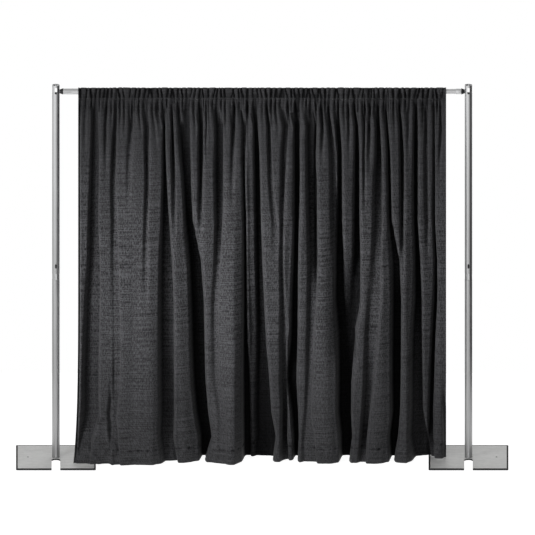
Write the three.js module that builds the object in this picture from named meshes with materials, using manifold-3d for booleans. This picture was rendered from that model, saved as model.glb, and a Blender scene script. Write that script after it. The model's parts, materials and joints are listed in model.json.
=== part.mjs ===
// Pipe and drape backdrop: two slotted aluminium uprights on flat steel base plates,
// a telescoping crossbar hooked into them, and a black drape hung by its rod pocket.
// Millimetres, +Z up, +X to the right, the drape's face towards -Y.
// The origin is on the floor, midway between the two uprights.

import * as THREE from 'three';
import { mergeVertices } from 'three/addons/utils/BufferGeometryUtils.js';
import Module from 'manifold-3d';

const wasm = await Module();
wasm.setup();

// Clearances shared by all pieces
const seatGap = 0.3;
const cutOverrun = 5;
const roundSegments = 36;
const smallSegments = 16;
const rivetSegments = 12;
const arcSegments = 5;
const cornerSegments = 2;

// Stands: spacing of the two uprights' axes
const standSpacing = 2584;

// Base plate: square steel plate with a slot in its front edge that passes round an upright,
// so that plates stack for transport
const plateSide = 500;
const plateThickness = 10;
const plateCornerRadius = 9;
const plateEdgeBevel = 0.8;
const plateSlotWidth = 54;
const plateSlotGap = 11;
const stakeHoleDiameter = 12;
const stakeHoleInset = 75;

// Base pin: a tube with a thick floor, bolted through the plate
const pinHeight = 150;
const pinWall = 3.5;
const pinClearance = 0.6;
const pinFloor = 8;
const pinNoseHeight = 8;
const pinNoseTaper = 3;

// Countersunk bolt, washer and nut that hold the pin
const boltDiameter = 12;
const boltHoleClearance = 0.5;
const boltHeadDiameter = 24;
const boltHeadHeight = 6;
const boltHeadRim = 0.8;
const boltHeadSink = 0.6;
const boltHexAcross = 8;
const boltHexDepth = 4;
const boltTail = 3;
const washerDiameter = 28;
const washerThickness = 2.5;
const nutAcrossFlats = 19;
const nutHeight = 10;

// Upright: two equal tubes joined end to end by an inner coupler
const uprightDiameter = 48;
const uprightWall = 2;
const sectionLength = 1219.2;

// Hook slots near the top of each tube, four round the tube
const hookSlotWidth = 14;
const hookSlotHeight = 42;
const hookSlotDrop = 12.5;
const hookSlotCorner = 3;
const hookSlotCount = 4;

// Coupler sleeve, riveted into the lower tube. A bead round its middle parts the two tubes
const couplerClearance = 0.4;
const couplerWall = 2.5;
const couplerReach = 100;
const couplerBeadHeight = 1.2;
const couplerBeadInset = 0.3;
const couplerRivetDrop = 68;
const couplerRivetPitch = 22;
const couplerRivetDiameter = 5;
const couplerRivetHead = 10;
const couplerRivetHeadHeight = 1.6;
const couplerRivetTail = 8;
const couplerRivetTailHeight = 1.2;
const rivetClearance = 0.3;

// Snap button and the leaf spring behind it
const buttonWidth = 11.4;
const buttonHeight = 27;
const buttonProud = 4.5;
const buttonCrown = 1.6;
const buttonRise = 38;
const buttonClearance = 0.5;
const buttonFlangeRim = 2.6;
const buttonFlangeThickness = 1.6;
const springWidth = 10;
const springThickness = 0.9;
const springDrop = 62;
const springBendRadius = 3;

// Crossbar: outer tube on the left, inner tube sliding in it to the right
const outerBarDiameter = 38.1;
const outerBarLength = 1199;
const innerBarDiameter = 31.75;
const barWall = 1.65;
const crimpInset = 22;
const crimpWidth = 19;
const crimpDepth = 1.1;
const glideLength = 90;
const glideClearance = 0.4;
const glideLip = 6;
const glideSpigotWall = 3;
const bushLength = 20;
const bushClearance = 0.45;
const bushLip = 2.5;

// Hook: flat steel blade in a tapered black plug, one at each end of the crossbar
const plugLength = 20;
const plugStandoff = 1;
const plugSpigotLength = 28;
const plugClearance = 0.4;
const plugNoseDiameter = 27;
const plugEdge = 1.2;
const bladeThickness = 6;
const bladeHeight = 24;
const bladeTail = 165;
const bladePlay = 0.8;
const bladeSlotClearance = 0.3;
const lipLength = 7;
const lipDepth = 14;
const lipRadius = 3;
const noseDrop = 9;
const hookRivetInset = 152;
const hookRivetDiameter = 6;
const hookRivetHead = 11;
const hookRivetHeadHeight = 1.8;
const dimpleInset = 47;
const dimpleLength = 28;
const dimpleWidth = 16;
const dimpleDepth = 1;

// Ferrule that brings the inner tube's end up to the plug
const ferruleLength = 33;
const ferruleWall = 1.6;
const ferruleClearance = 0.3;

// Drape: black cloth, hung by a rod pocket, in deep folds that widen towards the hem
const drapeSideGap = 140;
const clothThickness = 2;
const hemClearance = 4;
const pocketDepth = 46;
const pocketEase = 2.95;
const pocketShoulder = 8.5;
const headFoldDepth = 14;
const hemRidgeReach = 178;
const hemValleyReach = 46;

// Levels of the drape, as shares of the way from the pocket's seam to the hem. Each has the share of
// its folds that it shows over the head's even gathers, how evenly they are spread, how far they have
// moved on to the hem's places, and how far their ridges and valleys reach
const levelShares = [
  { drop: 0, folds: 0, evenness: 0.45, hemLook: 0, ridges: 0, valleys: 0 },
  { drop: 0.07, folds: 1, evenness: 0.1, hemLook: 0, ridges: 0.32, valleys: 0.59 },
  { drop: 0.3, folds: 1, evenness: 0, hemLook: 0.15, ridges: 0.54, valleys: 0.73 },
  { drop: 0.64, folds: 1, evenness: 0, hemLook: 0.65, ridges: 0.78, valleys: 0.88 },
  { drop: 1, folds: 1, evenness: 0, hemLook: 1, ridges: 1, valleys: 1 },
];

// Valleys between the main folds, from left to right, first below the head and then at the hem: place
// and half width as shares of the drape's width, and depth as a share of the deepest
const valleyShares = [
  { head: [0.046, 0.0095, 0.75], hem: [0.033, 0.019, 0.65] },
  { head: [0.185, 0, 0.55], hem: [0.185, 0, 0] },
  { head: [0.246, 0.015, 0.88], hem: [0.243, 0.0215, 0.8] },
  { head: [0.292, 0.016, 0.85], hem: [0.338, 0.02, 1] },
  { head: [0.383, 0, 0.8], hem: [0.378, 0, 0.15] },
  { head: [0.451, 0, 0.7], hem: [0.458, 0, 1] },
  { head: [0.488, 0.0095, 0.95], hem: [0.504, 0.027, 1] },
  { head: [0.561, 0, 0.55], hem: [0.5625, 0, 0.7] },
  { head: [0.595, 0.01, 0.92], hem: [0.59, 0.01, 1] },
  { head: [0.636, 0.015, 0.75], hem: [0.625, 0.015, 0.22] },
  { head: [0.712, 0.008, 0.92], hem: [0.7255, 0.02, 1] },
  { head: [0.758, 0, 0.95], hem: [0.7635, 0, 0] },
  { head: [0.8166, 0, 0.75], hem: [0.785, 0, 0.4] },
  { head: [0.845, 0.005, 0.9], hem: [0.86, 0.013, 1] },
  { head: [0.88, 0, 0.75], hem: [0.8886, 0, 0] },
  { head: [0.918, 0.0075, 0.97], hem: [0.9266, 0.024, 0.72] },
  { head: [0.967, 0, 0.6], hem: [0.96, 0, 0.9] },
];

// A ridge wider than this below the head has two columns, set in by a share of its width
const wideRidgeShare = 0.05;
const ridgeInsetShare = 0.22;

// How far forward the hem's ridges stand, as a share of the furthest one, at places along the width
const hemReachShares = [
  [0, 0.75], [0.1, 1], [0.2, 0.92], [0.27, 0.62], [0.36, 0.56], [0.42, 1], [0.46, 0.7], [0.53, 0.5],
  [0.57, 0.42], [0.61, 0.62], [0.71, 0.8], [0.75, 0.68], [0.85, 0.76], [0.87, 0.6], [0.89, 0.74],
  [0.92, 0.4], [0.96, 0.2], [1, 0.3],
];

// Sizes that follow from the ones above
const uprightRadius = uprightDiameter / 2;
const uprightBore = uprightRadius - uprightWall;
const pinRadius = uprightBore - pinClearance;
const plateTop = plateThickness;
const lowerFoot = plateTop + seatGap;
const seamHeight = lowerFoot + sectionLength;
const beadFoot = seamHeight + seatGap;
const beadTop = beadFoot + couplerBeadHeight;
const upperFoot = beadTop + seatGap;
const uprightTop = upperFoot + sectionLength;
const slotFloor = uprightTop - hookSlotDrop - hookSlotHeight;
const barAxisHeight = slotFloor + seatGap + bladeHeight / 2;
const barRadius = outerBarDiameter / 2;
const barBore = barRadius - barWall;
const innerRadius = innerBarDiameter / 2;
const innerBore = innerRadius - barWall;
const crimpBore = barBore - crimpDepth;
const upperFace = standSpacing / 2 - uprightRadius;
const barEnd = upperFace - plugStandoff - plugLength;
const barOverlap = crimpInset + crimpWidth + seatGap + glideLength;
const outerMouth = outerBarLength - barEnd;
const innerTail = outerMouth - barOverlap;
const drapeWidth = standSpacing - 2 * drapeSideGap;
const pocketHalfWidth = barRadius + pocketEase;

const finishes = {
  plate: { color: 0xb2b2b0, roughness: 0.5, metalness: 0.5 },
  tube: { color: 0xc9cbcd, roughness: 0.3, metalness: 0.9 },
  steel: { color: 0x9c9d9e, roughness: 0.35, metalness: 0.9 },
  darkSteel: { color: 0x35363a, roughness: 0.45, metalness: 0.7 },
  plug: { color: 0x17181a, roughness: 0.5, metalness: 0 },
  nylon: { color: 0xd8d8d2, roughness: 0.55, metalness: 0 },
  cloth: { color: 0x16161a, roughness: 0.9, metalness: 0 },
};

function piece(name, geometry, finish) {
  const mesh = new THREE.Mesh(geometry, new THREE.MeshStandardMaterial(finishes[finish]));
  mesh.name = name;
  return mesh;
}

// Joins and cuts

function toSolid(geometry) {
  const bare = geometry.clone();
  bare.deleteAttribute('normal');
  bare.deleteAttribute('uv');
  const merged = mergeVertices(bare);
  return new wasm.Manifold(new wasm.Mesh({
    numProp: 3,
    vertProperties: new Float32Array(merged.attributes.position.array),
    triVerts: new Uint32Array(merged.index.array),
  }));
}

function toGeometry(solid) {
  const mesh = solid.getMesh();
  const points = new Float32Array(mesh.numVert * 3);
  for (let vertex = 0; vertex < mesh.numVert; vertex += 1) {
    for (let axis = 0; axis < 3; axis += 1) {
      points[vertex * 3 + axis] = mesh.vertProperties[vertex * mesh.numProp + axis];
    }
  }
  const geometry = new THREE.BufferGeometry();
  geometry.setAttribute('position', new THREE.BufferAttribute(points, 3));
  geometry.setIndex(new THREE.BufferAttribute(new Uint32Array(mesh.triVerts), 1));
  geometry.computeVertexNormals();
  return geometry;
}

function cut(geometry, cutters) {
  let solid = toSolid(geometry);
  for (const cutter of cutters) {
    solid = solid.subtract(toSolid(cutter));
  }
  return toGeometry(solid);
}

function join(geometries) {
  let solid = toSolid(geometries[0]);
  for (const geometry of geometries.slice(1)) {
    solid = solid.add(toSolid(geometry));
  }
  return toGeometry(solid);
}

// Basic forms

// Revolved form about Z, from [radius, height] pairs that go up the outside
function revolve(outline, segments = roundSegments) {
  const points = outline.map(([radius, height]) => new THREE.Vector2(radius, height));
  return new THREE.LatheGeometry(points, segments).rotateX(Math.PI / 2);
}

// The same, about X
function revolveX(outline, segments = roundSegments) {
  return revolve(outline, segments).rotateY(Math.PI / 2);
}

// The same, about Y, with heights measured towards the front
function revolveFront(outline, segments = rivetSegments) {
  return revolve(outline, segments).rotateX(Math.PI / 2);
}

function ring(outer, inner, low, high) {
  return [[outer, low], [outer, high], [inner, high], [inner, low], [outer, low]];
}

function stadium(width, height) {
  const shape = new THREE.Shape();
  const radius = width / 2;
  const straight = height / 2 - radius;
  shape.moveTo(radius, -straight);
  shape.lineTo(radius, straight);
  shape.absarc(0, straight, radius, 0, Math.PI, false);
  shape.lineTo(-radius, -straight);
  shape.absarc(0, -straight, radius, Math.PI, 2 * Math.PI, false);
  return shape;
}

function roundedBox(width, height, corner) {
  const x = width / 2 - corner;
  const y = height / 2 - corner;
  const shape = new THREE.Shape();
  shape.moveTo(x + corner, -y);
  shape.absarc(x, y, corner, 0, Math.PI / 2, false);
  shape.absarc(-x, y, corner, Math.PI / 2, Math.PI, false);
  shape.absarc(-x, -y, corner, Math.PI, 1.5 * Math.PI, false);
  shape.absarc(x, -y, corner, 1.5 * Math.PI, 2 * Math.PI, false);
  return shape;
}

// A flat outline in X and Z, from front to back along Y
function extrudeBack(shape, front, back, curveSegments = arcSegments) {
  const geometry = new THREE.ExtrudeGeometry(shape, {
    depth: back - front, bevelEnabled: false, curveSegments,
  });
  return geometry.rotateX(Math.PI / 2).translate(0, back, 0);
}

// Base plate and its pin

function plateOutline() {
  const half = plateSide / 2;
  const slotHalf = plateSlotWidth / 2;
  const slotCentre = -(uprightRadius + plateSlotGap + slotHalf);
  const shape = new THREE.Shape();
  const corner = plateCornerRadius;
  shape.moveTo(-half + corner, -half);
  shape.lineTo(-slotHalf, -half);
  shape.lineTo(-slotHalf, slotCentre);
  shape.absarc(0, slotCentre, slotHalf, Math.PI, 0, true);
  shape.lineTo(slotHalf, -half);
  shape.lineTo(half - corner, -half);
  shape.absarc(half - corner, -half + corner, corner, -Math.PI / 2, 0, false);
  shape.absarc(half - corner, half - corner, corner, 0, Math.PI / 2, false);
  shape.absarc(-half + corner, half - corner, corner, Math.PI / 2, Math.PI, false);
  shape.absarc(-half + corner, -half + corner, corner, Math.PI, 1.5 * Math.PI, false);
  for (const side of [-1, 1]) {
    const hole = new THREE.Path();
    hole.absarc(side * (half - stakeHoleInset), 0, stakeHoleDiameter / 2, 0, 2 * Math.PI, true);
    shape.holes.push(hole);
  }
  return shape;
}

function basePlate() {
  const plate = new THREE.ExtrudeGeometry(plateOutline(), {
    depth: plateThickness - 2 * plateEdgeBevel,
    bevelEnabled: true,
    bevelThickness: plateEdgeBevel,
    bevelSize: plateEdgeBevel,
    bevelOffset: -plateEdgeBevel,
    bevelSegments: 1,
    curveSegments: arcSegments,
  }).translate(0, 0, plateEdgeBevel);
  const shank = boltDiameter / 2 + boltHoleClearance;
  const mouth = boltHeadDiameter / 2 + boltHoleClearance;
  const boltHole = revolve([
    [0, -cutOverrun],
    [mouth, -cutOverrun],
    [mouth, boltHeadSink + boltHeadRim],
    [shank, boltHeadSink + boltHeadHeight + seatGap],
    [shank, plateThickness + cutOverrun],
    [0, plateThickness + cutOverrun],
  ], smallSegments);
  return cut(plate, [boltHole]);
}

function basePin() {
  const foot = plateTop + seatGap;
  const floorTop = foot + pinFloor;
  const top = foot + pinHeight;
  const bore = pinRadius - pinWall;
  const nose = pinRadius - pinNoseTaper;
  const hole = boltDiameter / 2 + boltHoleClearance;
  return revolve([
    [hole, foot],
    [pinRadius, foot],
    [pinRadius, top - pinNoseHeight],
    [nose, top],
    [bore - pinNoseTaper, top],
    [bore, top - pinNoseHeight],
    [bore, floorTop],
    [hole, floorTop],
    [hole, foot],
  ]);
}

const washerFoot = plateTop + seatGap + pinFloor + seatGap;
const nutFoot = washerFoot + washerThickness + seatGap;
const boltTop = nutFoot + nutHeight + boltTail;

function pinBolt() {
  const shank = boltDiameter / 2;
  const body = revolve([
    [0, boltHeadSink],
    [boltHeadDiameter / 2, boltHeadSink],
    [boltHeadDiameter / 2, boltHeadSink + boltHeadRim],
    [shank, boltHeadSink + boltHeadHeight],
    [shank, boltTop],
    [0, boltTop],
  ], smallSegments);
  const socketRadius = boltHexAcross / 2 / Math.cos(Math.PI / 6);
  const socketTop = boltHeadSink + boltHexDepth;
  const socket = revolve([
    [0, -cutOverrun], [socketRadius, -cutOverrun], [socketRadius, socketTop], [0, socketTop],
  ], 6);
  return cut(body, [socket]);
}

function pinWasher() {
  const hole = boltDiameter / 2 + boltHoleClearance;
  return revolve(ring(washerDiameter / 2, hole, washerFoot, washerFoot + washerThickness), smallSegments);
}

function pinNut() {
  const across = nutAcrossFlats / 2 / Math.cos(Math.PI / 6);
  const nutTop = nutFoot + nutHeight;
  const hex = revolve([[0, nutFoot], [across, nutFoot], [across, nutTop], [0, nutTop]], 6);
  const hole = boltDiameter / 2 + seatGap;
  const bore = revolve([
    [0, nutFoot - cutOverrun], [hole, nutFoot - cutOverrun],
    [hole, nutTop + cutOverrun], [0, nutTop + cutOverrun],
  ], smallSegments);
  return cut(hex, [bore]);
}

// Upright: lower tube, coupler with its rivets, snap button, spring and upper tube

const couplerRadius = uprightBore - couplerClearance;
const couplerBore = couplerRadius - couplerWall;
const buttonCentre = seamHeight + buttonRise;
const buttonFace = -(uprightRadius + buttonProud);
const flangeHalf = buttonWidth / 2 + buttonFlangeRim;
const flangeFront = -(Math.sqrt(couplerBore ** 2 - flangeHalf ** 2) - seatGap);
const flangeBack = flangeFront + buttonFlangeThickness;

function slotCutters(rim) {
  const centre = rim - hookSlotDrop - hookSlotHeight / 2;
  const outline = roundedBox(hookSlotWidth, hookSlotHeight, hookSlotCorner);
  const cutters = [];
  for (let turn = 0; turn < hookSlotCount; turn += 1) {
    const cutter = extrudeBack(outline, -uprightRadius - cutOverrun, -uprightRadius / 2, cornerSegments);
    cutters.push(cutter.translate(0, 0, centre).rotateZ(turn * 2 * Math.PI / hookSlotCount));
  }
  return cutters;
}

function buttonHole() {
  const width = buttonWidth + 2 * buttonClearance;
  const height = buttonHeight + 2 * buttonClearance;
  return extrudeBack(stadium(width, height), -uprightRadius - cutOverrun, 0).translate(0, 0, buttonCentre);
}

// Places of the coupler's rivets, one above the other at the back
function rivetHeights() {
  return [seamHeight - couplerRivetDrop, seamHeight - couplerRivetDrop - couplerRivetPitch];
}

function rivetHoles() {
  const radius = couplerRivetDiameter / 2 + rivetClearance;
  return rivetHeights().map((height) => revolveFront([
    [0, -uprightRadius - cutOverrun], [radius, -uprightRadius - cutOverrun], [radius, 0], [0, 0],
  ]).translate(0, 0, height));
}

function lowerTube() {
  const tube = revolve(ring(uprightRadius, uprightBore, lowerFoot, seamHeight));
  return cut(tube, [...slotCutters(seamHeight), ...rivetHoles()]);
}

function upperTube() {
  const tube = revolve(ring(uprightRadius, uprightBore, upperFoot, uprightTop));
  return cut(tube, [...slotCutters(uprightTop), buttonHole()]);
}

function coupler() {
  const low = seamHeight - couplerReach;
  const high = seamHeight + couplerReach;
  const bead = uprightRadius - couplerBeadInset;
  const sleeve = revolve([
    [couplerRadius, low],
    [couplerRadius, beadFoot],
    [bead, beadFoot],
    [bead, beadTop],
    [couplerRadius, beadTop],
    [couplerRadius, high],
    [couplerBore, high],
    [couplerBore, low],
    [couplerRadius, low],
  ]);
  return cut(sleeve, [buttonHole(), ...rivetHoles()]);
}

function couplerRivet(height) {
  const shank = couplerRivetDiameter / 2;
  const head = couplerRivetHead / 2;
  const tail = couplerRivetTail / 2;
  const headSeat = -uprightRadius - seatGap;
  const headTop = headSeat - couplerRivetHeadHeight;
  const tailSeat = -Math.sqrt(couplerBore ** 2 - tail ** 2) + seatGap;
  const outline = [
    [0, headTop],
    [head / 2, headTop],
    [head, headSeat - couplerRivetHeadHeight / 3],
    [head, headSeat],
    [shank, headSeat],
    [shank, tailSeat],
    [tail, tailSeat],
    [tail, tailSeat + couplerRivetTailHeight],
    [0, tailSeat + couplerRivetTailHeight],
  ];
  return revolveFront(outline).translate(0, 0, height);
}

function snapButton() {
  const outline = stadium(buttonWidth, buttonHeight);
  const top = stadium(buttonWidth - 2 * buttonCrown, buttonHeight - 2 * buttonCrown);
  const body = extrudeBack(outline, buttonFace + buttonCrown, flangeFront + seatGap);
  const crown = new THREE.ExtrudeGeometry(top, {
    depth: buttonCrown,
    bevelEnabled: true,
    bevelThickness: buttonCrown,
    bevelSize: buttonCrown,
    bevelSegments: 3,
    curveSegments: arcSegments,
  }).rotateX(Math.PI / 2).translate(0, buttonFace + 2 * buttonCrown, 0);
  const flangeWidth = 2 * flangeHalf;
  const flangeHeight = buttonHeight + 2 * buttonFlangeRim;
  const flange = extrudeBack(stadium(flangeWidth, flangeHeight), flangeFront, flangeBack);
  return join([body, crown, flange]).translate(0, 0, buttonCentre);
}

// The spring is one strip, bent into a narrow V below the button: its front leg stands behind the
// button and its back leg leans on the coupler's wall
function buttonSpring() {
  const back = Math.sqrt(couplerBore ** 2 - (springWidth / 2) ** 2) - seatGap;
  const front = flangeBack + seatGap;
  const half = buttonHeight / 2;
  const low = -springDrop;
  const middle = (front + back) / 2;
  const outer = springBendRadius;
  const inner = springBendRadius - springThickness;
  const shape = new THREE.Shape();
  shape.moveTo(front, half);
  shape.lineTo(front, -half);
  shape.lineTo(middle - outer, low);
  shape.absarc(middle, low, outer, Math.PI, 2 * Math.PI, false);
  shape.lineTo(back, -half);
  shape.lineTo(back, half);
  shape.lineTo(back - springThickness, half);
  shape.lineTo(back - springThickness, -half);
  shape.lineTo(middle + inner, low);
  shape.absarc(middle, low, inner, 0, -Math.PI, true);
  shape.lineTo(front + springThickness, -half);
  shape.lineTo(front + springThickness, half);
  shape.closePath();
  const strip = new THREE.ExtrudeGeometry(shape, {
    depth: springWidth, bevelEnabled: false, curveSegments: arcSegments,
  });
  return strip.rotateX(Math.PI / 2).rotateZ(Math.PI / 2).translate(-springWidth / 2, 0, buttonCentre);
}

// Crossbar tubes, each along X about the bar's axis

function outerBar() {
  const left = -barEnd;
  const right = outerMouth;
  const crimpRight = right - crimpInset;
  const crimpLeft = crimpRight - crimpWidth;
  const slope = crimpWidth / 3;
  const tube = revolveX([
    [barRadius, left],
    [barRadius, crimpLeft],
    [barRadius - crimpDepth, crimpLeft + slope],
    [barRadius - crimpDepth, crimpRight - slope],
    [barRadius, crimpRight],
    [barRadius, right - barWall],
    [barRadius - barWall / 2, right],
    [barBore, right],
    [barBore, crimpRight],
    [crimpBore, crimpRight - slope],
    [crimpBore, crimpLeft + slope],
    [barBore, crimpLeft],
    [barBore, left],
    [barRadius, left],
  ]);
  return cut(tube, [...hookRivetHole(-1), ...dimples()]);
}

function innerBar() {
  const tube = revolveX(ring(innerRadius, innerBore, innerTail, barEnd));
  return cut(tube, hookRivetHole(1));
}

// Oval dimples that lock the plug in the outer tube, at the front and the back
function dimples() {
  const ball = new THREE.SphereGeometry(0.5, smallSegments, smallSegments / 2);
  return [-1, 1].map((side) => ball.clone()
    .scale(dimpleLength, 4 * dimpleDepth, dimpleWidth)
    .translate(-barEnd + dimpleInset, side * (barRadius + dimpleDepth), 0));
}

function hookRivetHole(side) {
  const radius = hookRivetDiameter / 2 + rivetClearance;
  const reach = barRadius + cutOverrun;
  const hole = revolveFront([[0, -reach], [radius, -reach], [radius, reach], [0, reach]]);
  return [hole.translate(side * (barEnd - hookRivetInset), 0, 0)];
}

function guideBush() {
  const outer = barBore - bushClearance;
  const inner = innerRadius + bushClearance;
  const seat = outerMouth + seatGap;
  return revolveX([
    [outer, seat - bushLength],
    [outer, seat],
    [barRadius - barWall / 2, seat],
    [barRadius - barWall / 2, seat + bushLip],
    [inner, seat + bushLip],
    [inner, seat - bushLength],
    [outer, seat - bushLength],
  ]);
}

// Long glide round the inner tube's tail. Its front shoulder meets the crimp at full length
function tailGlide() {
  const outer = barBore - glideClearance;
  const sleeve = innerRadius + ferruleClearance;
  const front = innerTail + glideLength;
  const spigot = innerBore - glideClearance;
  return revolveX([
    [spigot - glideSpigotWall, innerTail - seatGap - glideLip],
    [outer - barWall, innerTail - seatGap - glideLip],
    [outer, innerTail - seatGap],
    [outer, front],
    [sleeve, front],
    [sleeve, innerTail - seatGap],
    [spigot, innerTail - seatGap],
    [spigot, innerTail + glideLip],
    [spigot - glideSpigotWall, innerTail + glideLip],
    [spigot - glideSpigotWall, innerTail - seatGap - glideLip],
  ]);
}

function ferrule() {
  const inner = innerRadius + ferruleClearance;
  const outer = inner + ferruleWall;
  const low = barEnd - ferruleLength;
  return revolveX([
    [outer - ferruleWall / 2, low],
    [outer, low + ferruleWall],
    [outer, barEnd],
    [inner, barEnd],
    [inner, low],
    [outer - ferruleWall / 2, low],
  ]);
}

// Hook at the right end, with distances counted outwards from the bar's end. The left one is its
// mirror image

function bladeOutline() {
  const half = bladeHeight / 2;
  const wallStart = plugLength + plugStandoff;
  const lipStart = wallStart + uprightWall + bladePlay;
  const tip = lipStart + lipLength;
  const lipFoot = -half - lipDepth;
  const shape = new THREE.Shape();
  shape.moveTo(-bladeTail, -half);
  shape.lineTo(lipStart, -half);
  shape.lineTo(lipStart, lipFoot + lipRadius / 2);
  shape.lineTo(lipStart + lipRadius / 2, lipFoot);
  shape.lineTo(tip - lipRadius, lipFoot);
  shape.absarc(tip - lipRadius, lipFoot + lipRadius, lipRadius, -Math.PI / 2, 0, false);
  shape.lineTo(tip, half - noseDrop - lipRadius);
  shape.absarc(tip - lipRadius, half - noseDrop - lipRadius, lipRadius, 0, Math.PI / 3, false);
  shape.lineTo(plugLength + seatGap, half);
  shape.lineTo(-bladeTail, half);
  shape.closePath();
  const rivetHole = new THREE.Path();
  rivetHole.absarc(-hookRivetInset, 0, hookRivetDiameter / 2 + rivetClearance, 0, 2 * Math.PI, true);
  shape.holes.push(rivetHole);
  return shape;
}

function hookBlade() {
  return extrudeBack(bladeOutline(), -bladeThickness / 2, bladeThickness / 2);
}

function hookPlug(bore) {
  const spigot = bore - plugClearance;
  const nose = plugNoseDiameter / 2;
  const body = revolveX([
    [0, -plugSpigotLength],
    [spigot - plugEdge, -plugSpigotLength],
    [spigot, -plugSpigotLength + plugEdge],
    [spigot, seatGap],
    [barRadius, seatGap],
    [barRadius, 2 * plugEdge],
    [nose, plugLength - plugEdge],
    [nose - plugEdge, plugLength],
    [0, plugLength],
  ]);
  const width = bladeThickness + 2 * bladeSlotClearance;
  const height = bladeHeight + 2 * bladeSlotClearance;
  const slot = new THREE.BoxGeometry(plugSpigotLength + plugLength + 2 * cutOverrun, width, height);
  return cut(body, [slot.translate((plugLength - plugSpigotLength) / 2, 0, 0)]);
}

function hookRivet(tubeRadius) {
  const shank = hookRivetDiameter / 2;
  const head = hookRivetHead / 2;
  const seat = tubeRadius + seatGap;
  const top = seat + hookRivetHeadHeight;
  const edge = seat + hookRivetHeadHeight / 3;
  return revolveFront([
    [0, -top], [head / 2, -top], [head, -edge], [head, -seat], [shank, -seat],
    [shank, seat], [head, seat], [head, edge], [head / 2, top], [0, top],
  ]).translate(-hookRivetInset, 0, 0);
}

function mirrored(geometry) {
  const flipped = geometry.clone().scale(-1, 1, 1);
  const index = flipped.index ? flipped.index.array : null;
  const plain = index ? flipped.toNonIndexed() : flipped;
  const position = plain.attributes.position;
  const turned = new Float32Array(position.array.length);
  for (let vertex = 0; vertex < position.count; vertex += 3) {
    for (const [target, source] of [[0, 0], [1, 2], [2, 1]]) {
      for (let axis = 0; axis < 3; axis += 1) {
        turned[(vertex + target) * 3 + axis] = position.array[(vertex + source) * 3 + axis];
      }
    }
  }
  const result = new THREE.BufferGeometry();
  result.setAttribute('position', new THREE.BufferAttribute(turned, 3));
  const welded = mergeVertices(result);
  welded.computeVertexNormals();
  return welded;
}

// Drape

// Columns of the drape from one side to the other, each with its place and depth below the head and
// at the hem: the floors of the valleys, with one or two columns on the ridge between two floors
function foldColumns() {
  const columns = [{ head: [0, 0], hem: [0, 0] }];
  const addRidge = (before, after) => {
    const wide = after.head[0] - before.head[0] > wideRidgeShare;
    for (const share of wide ? [ridgeInsetShare, 1 - ridgeInsetShare] : [1 / 2]) {
      const placeOf = (end) => before[end][0] + (after[end][0] - before[end][0]) * share;
      columns.push({ head: [placeOf('head'), 0], hem: [placeOf('hem'), 0] });
    }
  };
  for (const { head, hem } of valleyShares) {
    const sides = head[1] + hem[1] > 0 ? [-1, 1] : [0];
    const floor = sides.map((side) => ({
      head: [head[0] + side * head[1], head[2]],
      hem: [hem[0] + side * hem[1], hem[2]],
    }));
    addRidge(columns.at(-1), floor[0]);
    columns.push(...floor);
  }
  const rightEdge = { head: [1, 0], hem: [1, 0] };
  addRidge(columns.at(-1), rightEdge);
  columns.push(rightEdge);
  return columns;
}

// How far forward the hem's ridges stand at a place, from the rows on both sides of it
function hemReachAt(place) {
  const after = hemReachShares.findIndex(([row]) => row >= place);
  if (after <= 0) {
    return hemReachShares[0][1];
  }
  const [startPlace, startReach] = hemReachShares[after - 1];
  const [endPlace, endReach] = hemReachShares[after];
  return startReach + (endReach - startReach) * (place - startPlace) / (endPlace - startPlace);
}

// One [x, y] point for each column at a level: the folds there over the head's even gathers
function levelLine(level) {
  const columns = foldColumns();
  const last = columns.length - 1;
  return columns.map(({ head, hem }, index) => {
    const settled = head[0] + (hem[0] - head[0]) * level.hemLook;
    const place = settled + (index / last - settled) * level.evenness;
    const depth = head[1] + (hem[1] - head[1]) * level.hemLook;
    const reach = level.ridges * (1 + (hemReachAt(hem[0]) - 1) * level.hemLook);
    const foldY = -hemRidgeReach * reach * (1 - depth) + hemValleyReach * level.valleys * depth;
    const headY = (index % 2 === 0 ? -1 : 1) * headFoldDepth / 2;
    return [(place - 1 / 2) * drapeWidth, headY + (foldY - headY) * level.folds];
  });
}

// The same line moved square to itself, to the front or the back face of the cloth. Its two ends
// stay on the drape's straight side edges
function offsetLine(line, distance) {
  const last = line.length - 1;
  return line.map(([x, y], index) => {
    if (index === 0 || index === last) {
      return [x, y + distance];
    }
    const before = new THREE.Vector2(x - line[index - 1][0], y - line[index - 1][1]).normalize();
    const after = new THREE.Vector2(line[index + 1][0] - x, line[index + 1][1] - y).normalize();
    const along = before.clone().add(after).normalize();
    const stretch = distance / Math.abs(along.dot(before));
    return [x - along.y * stretch, y + along.x * stretch];
  });
}

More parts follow.
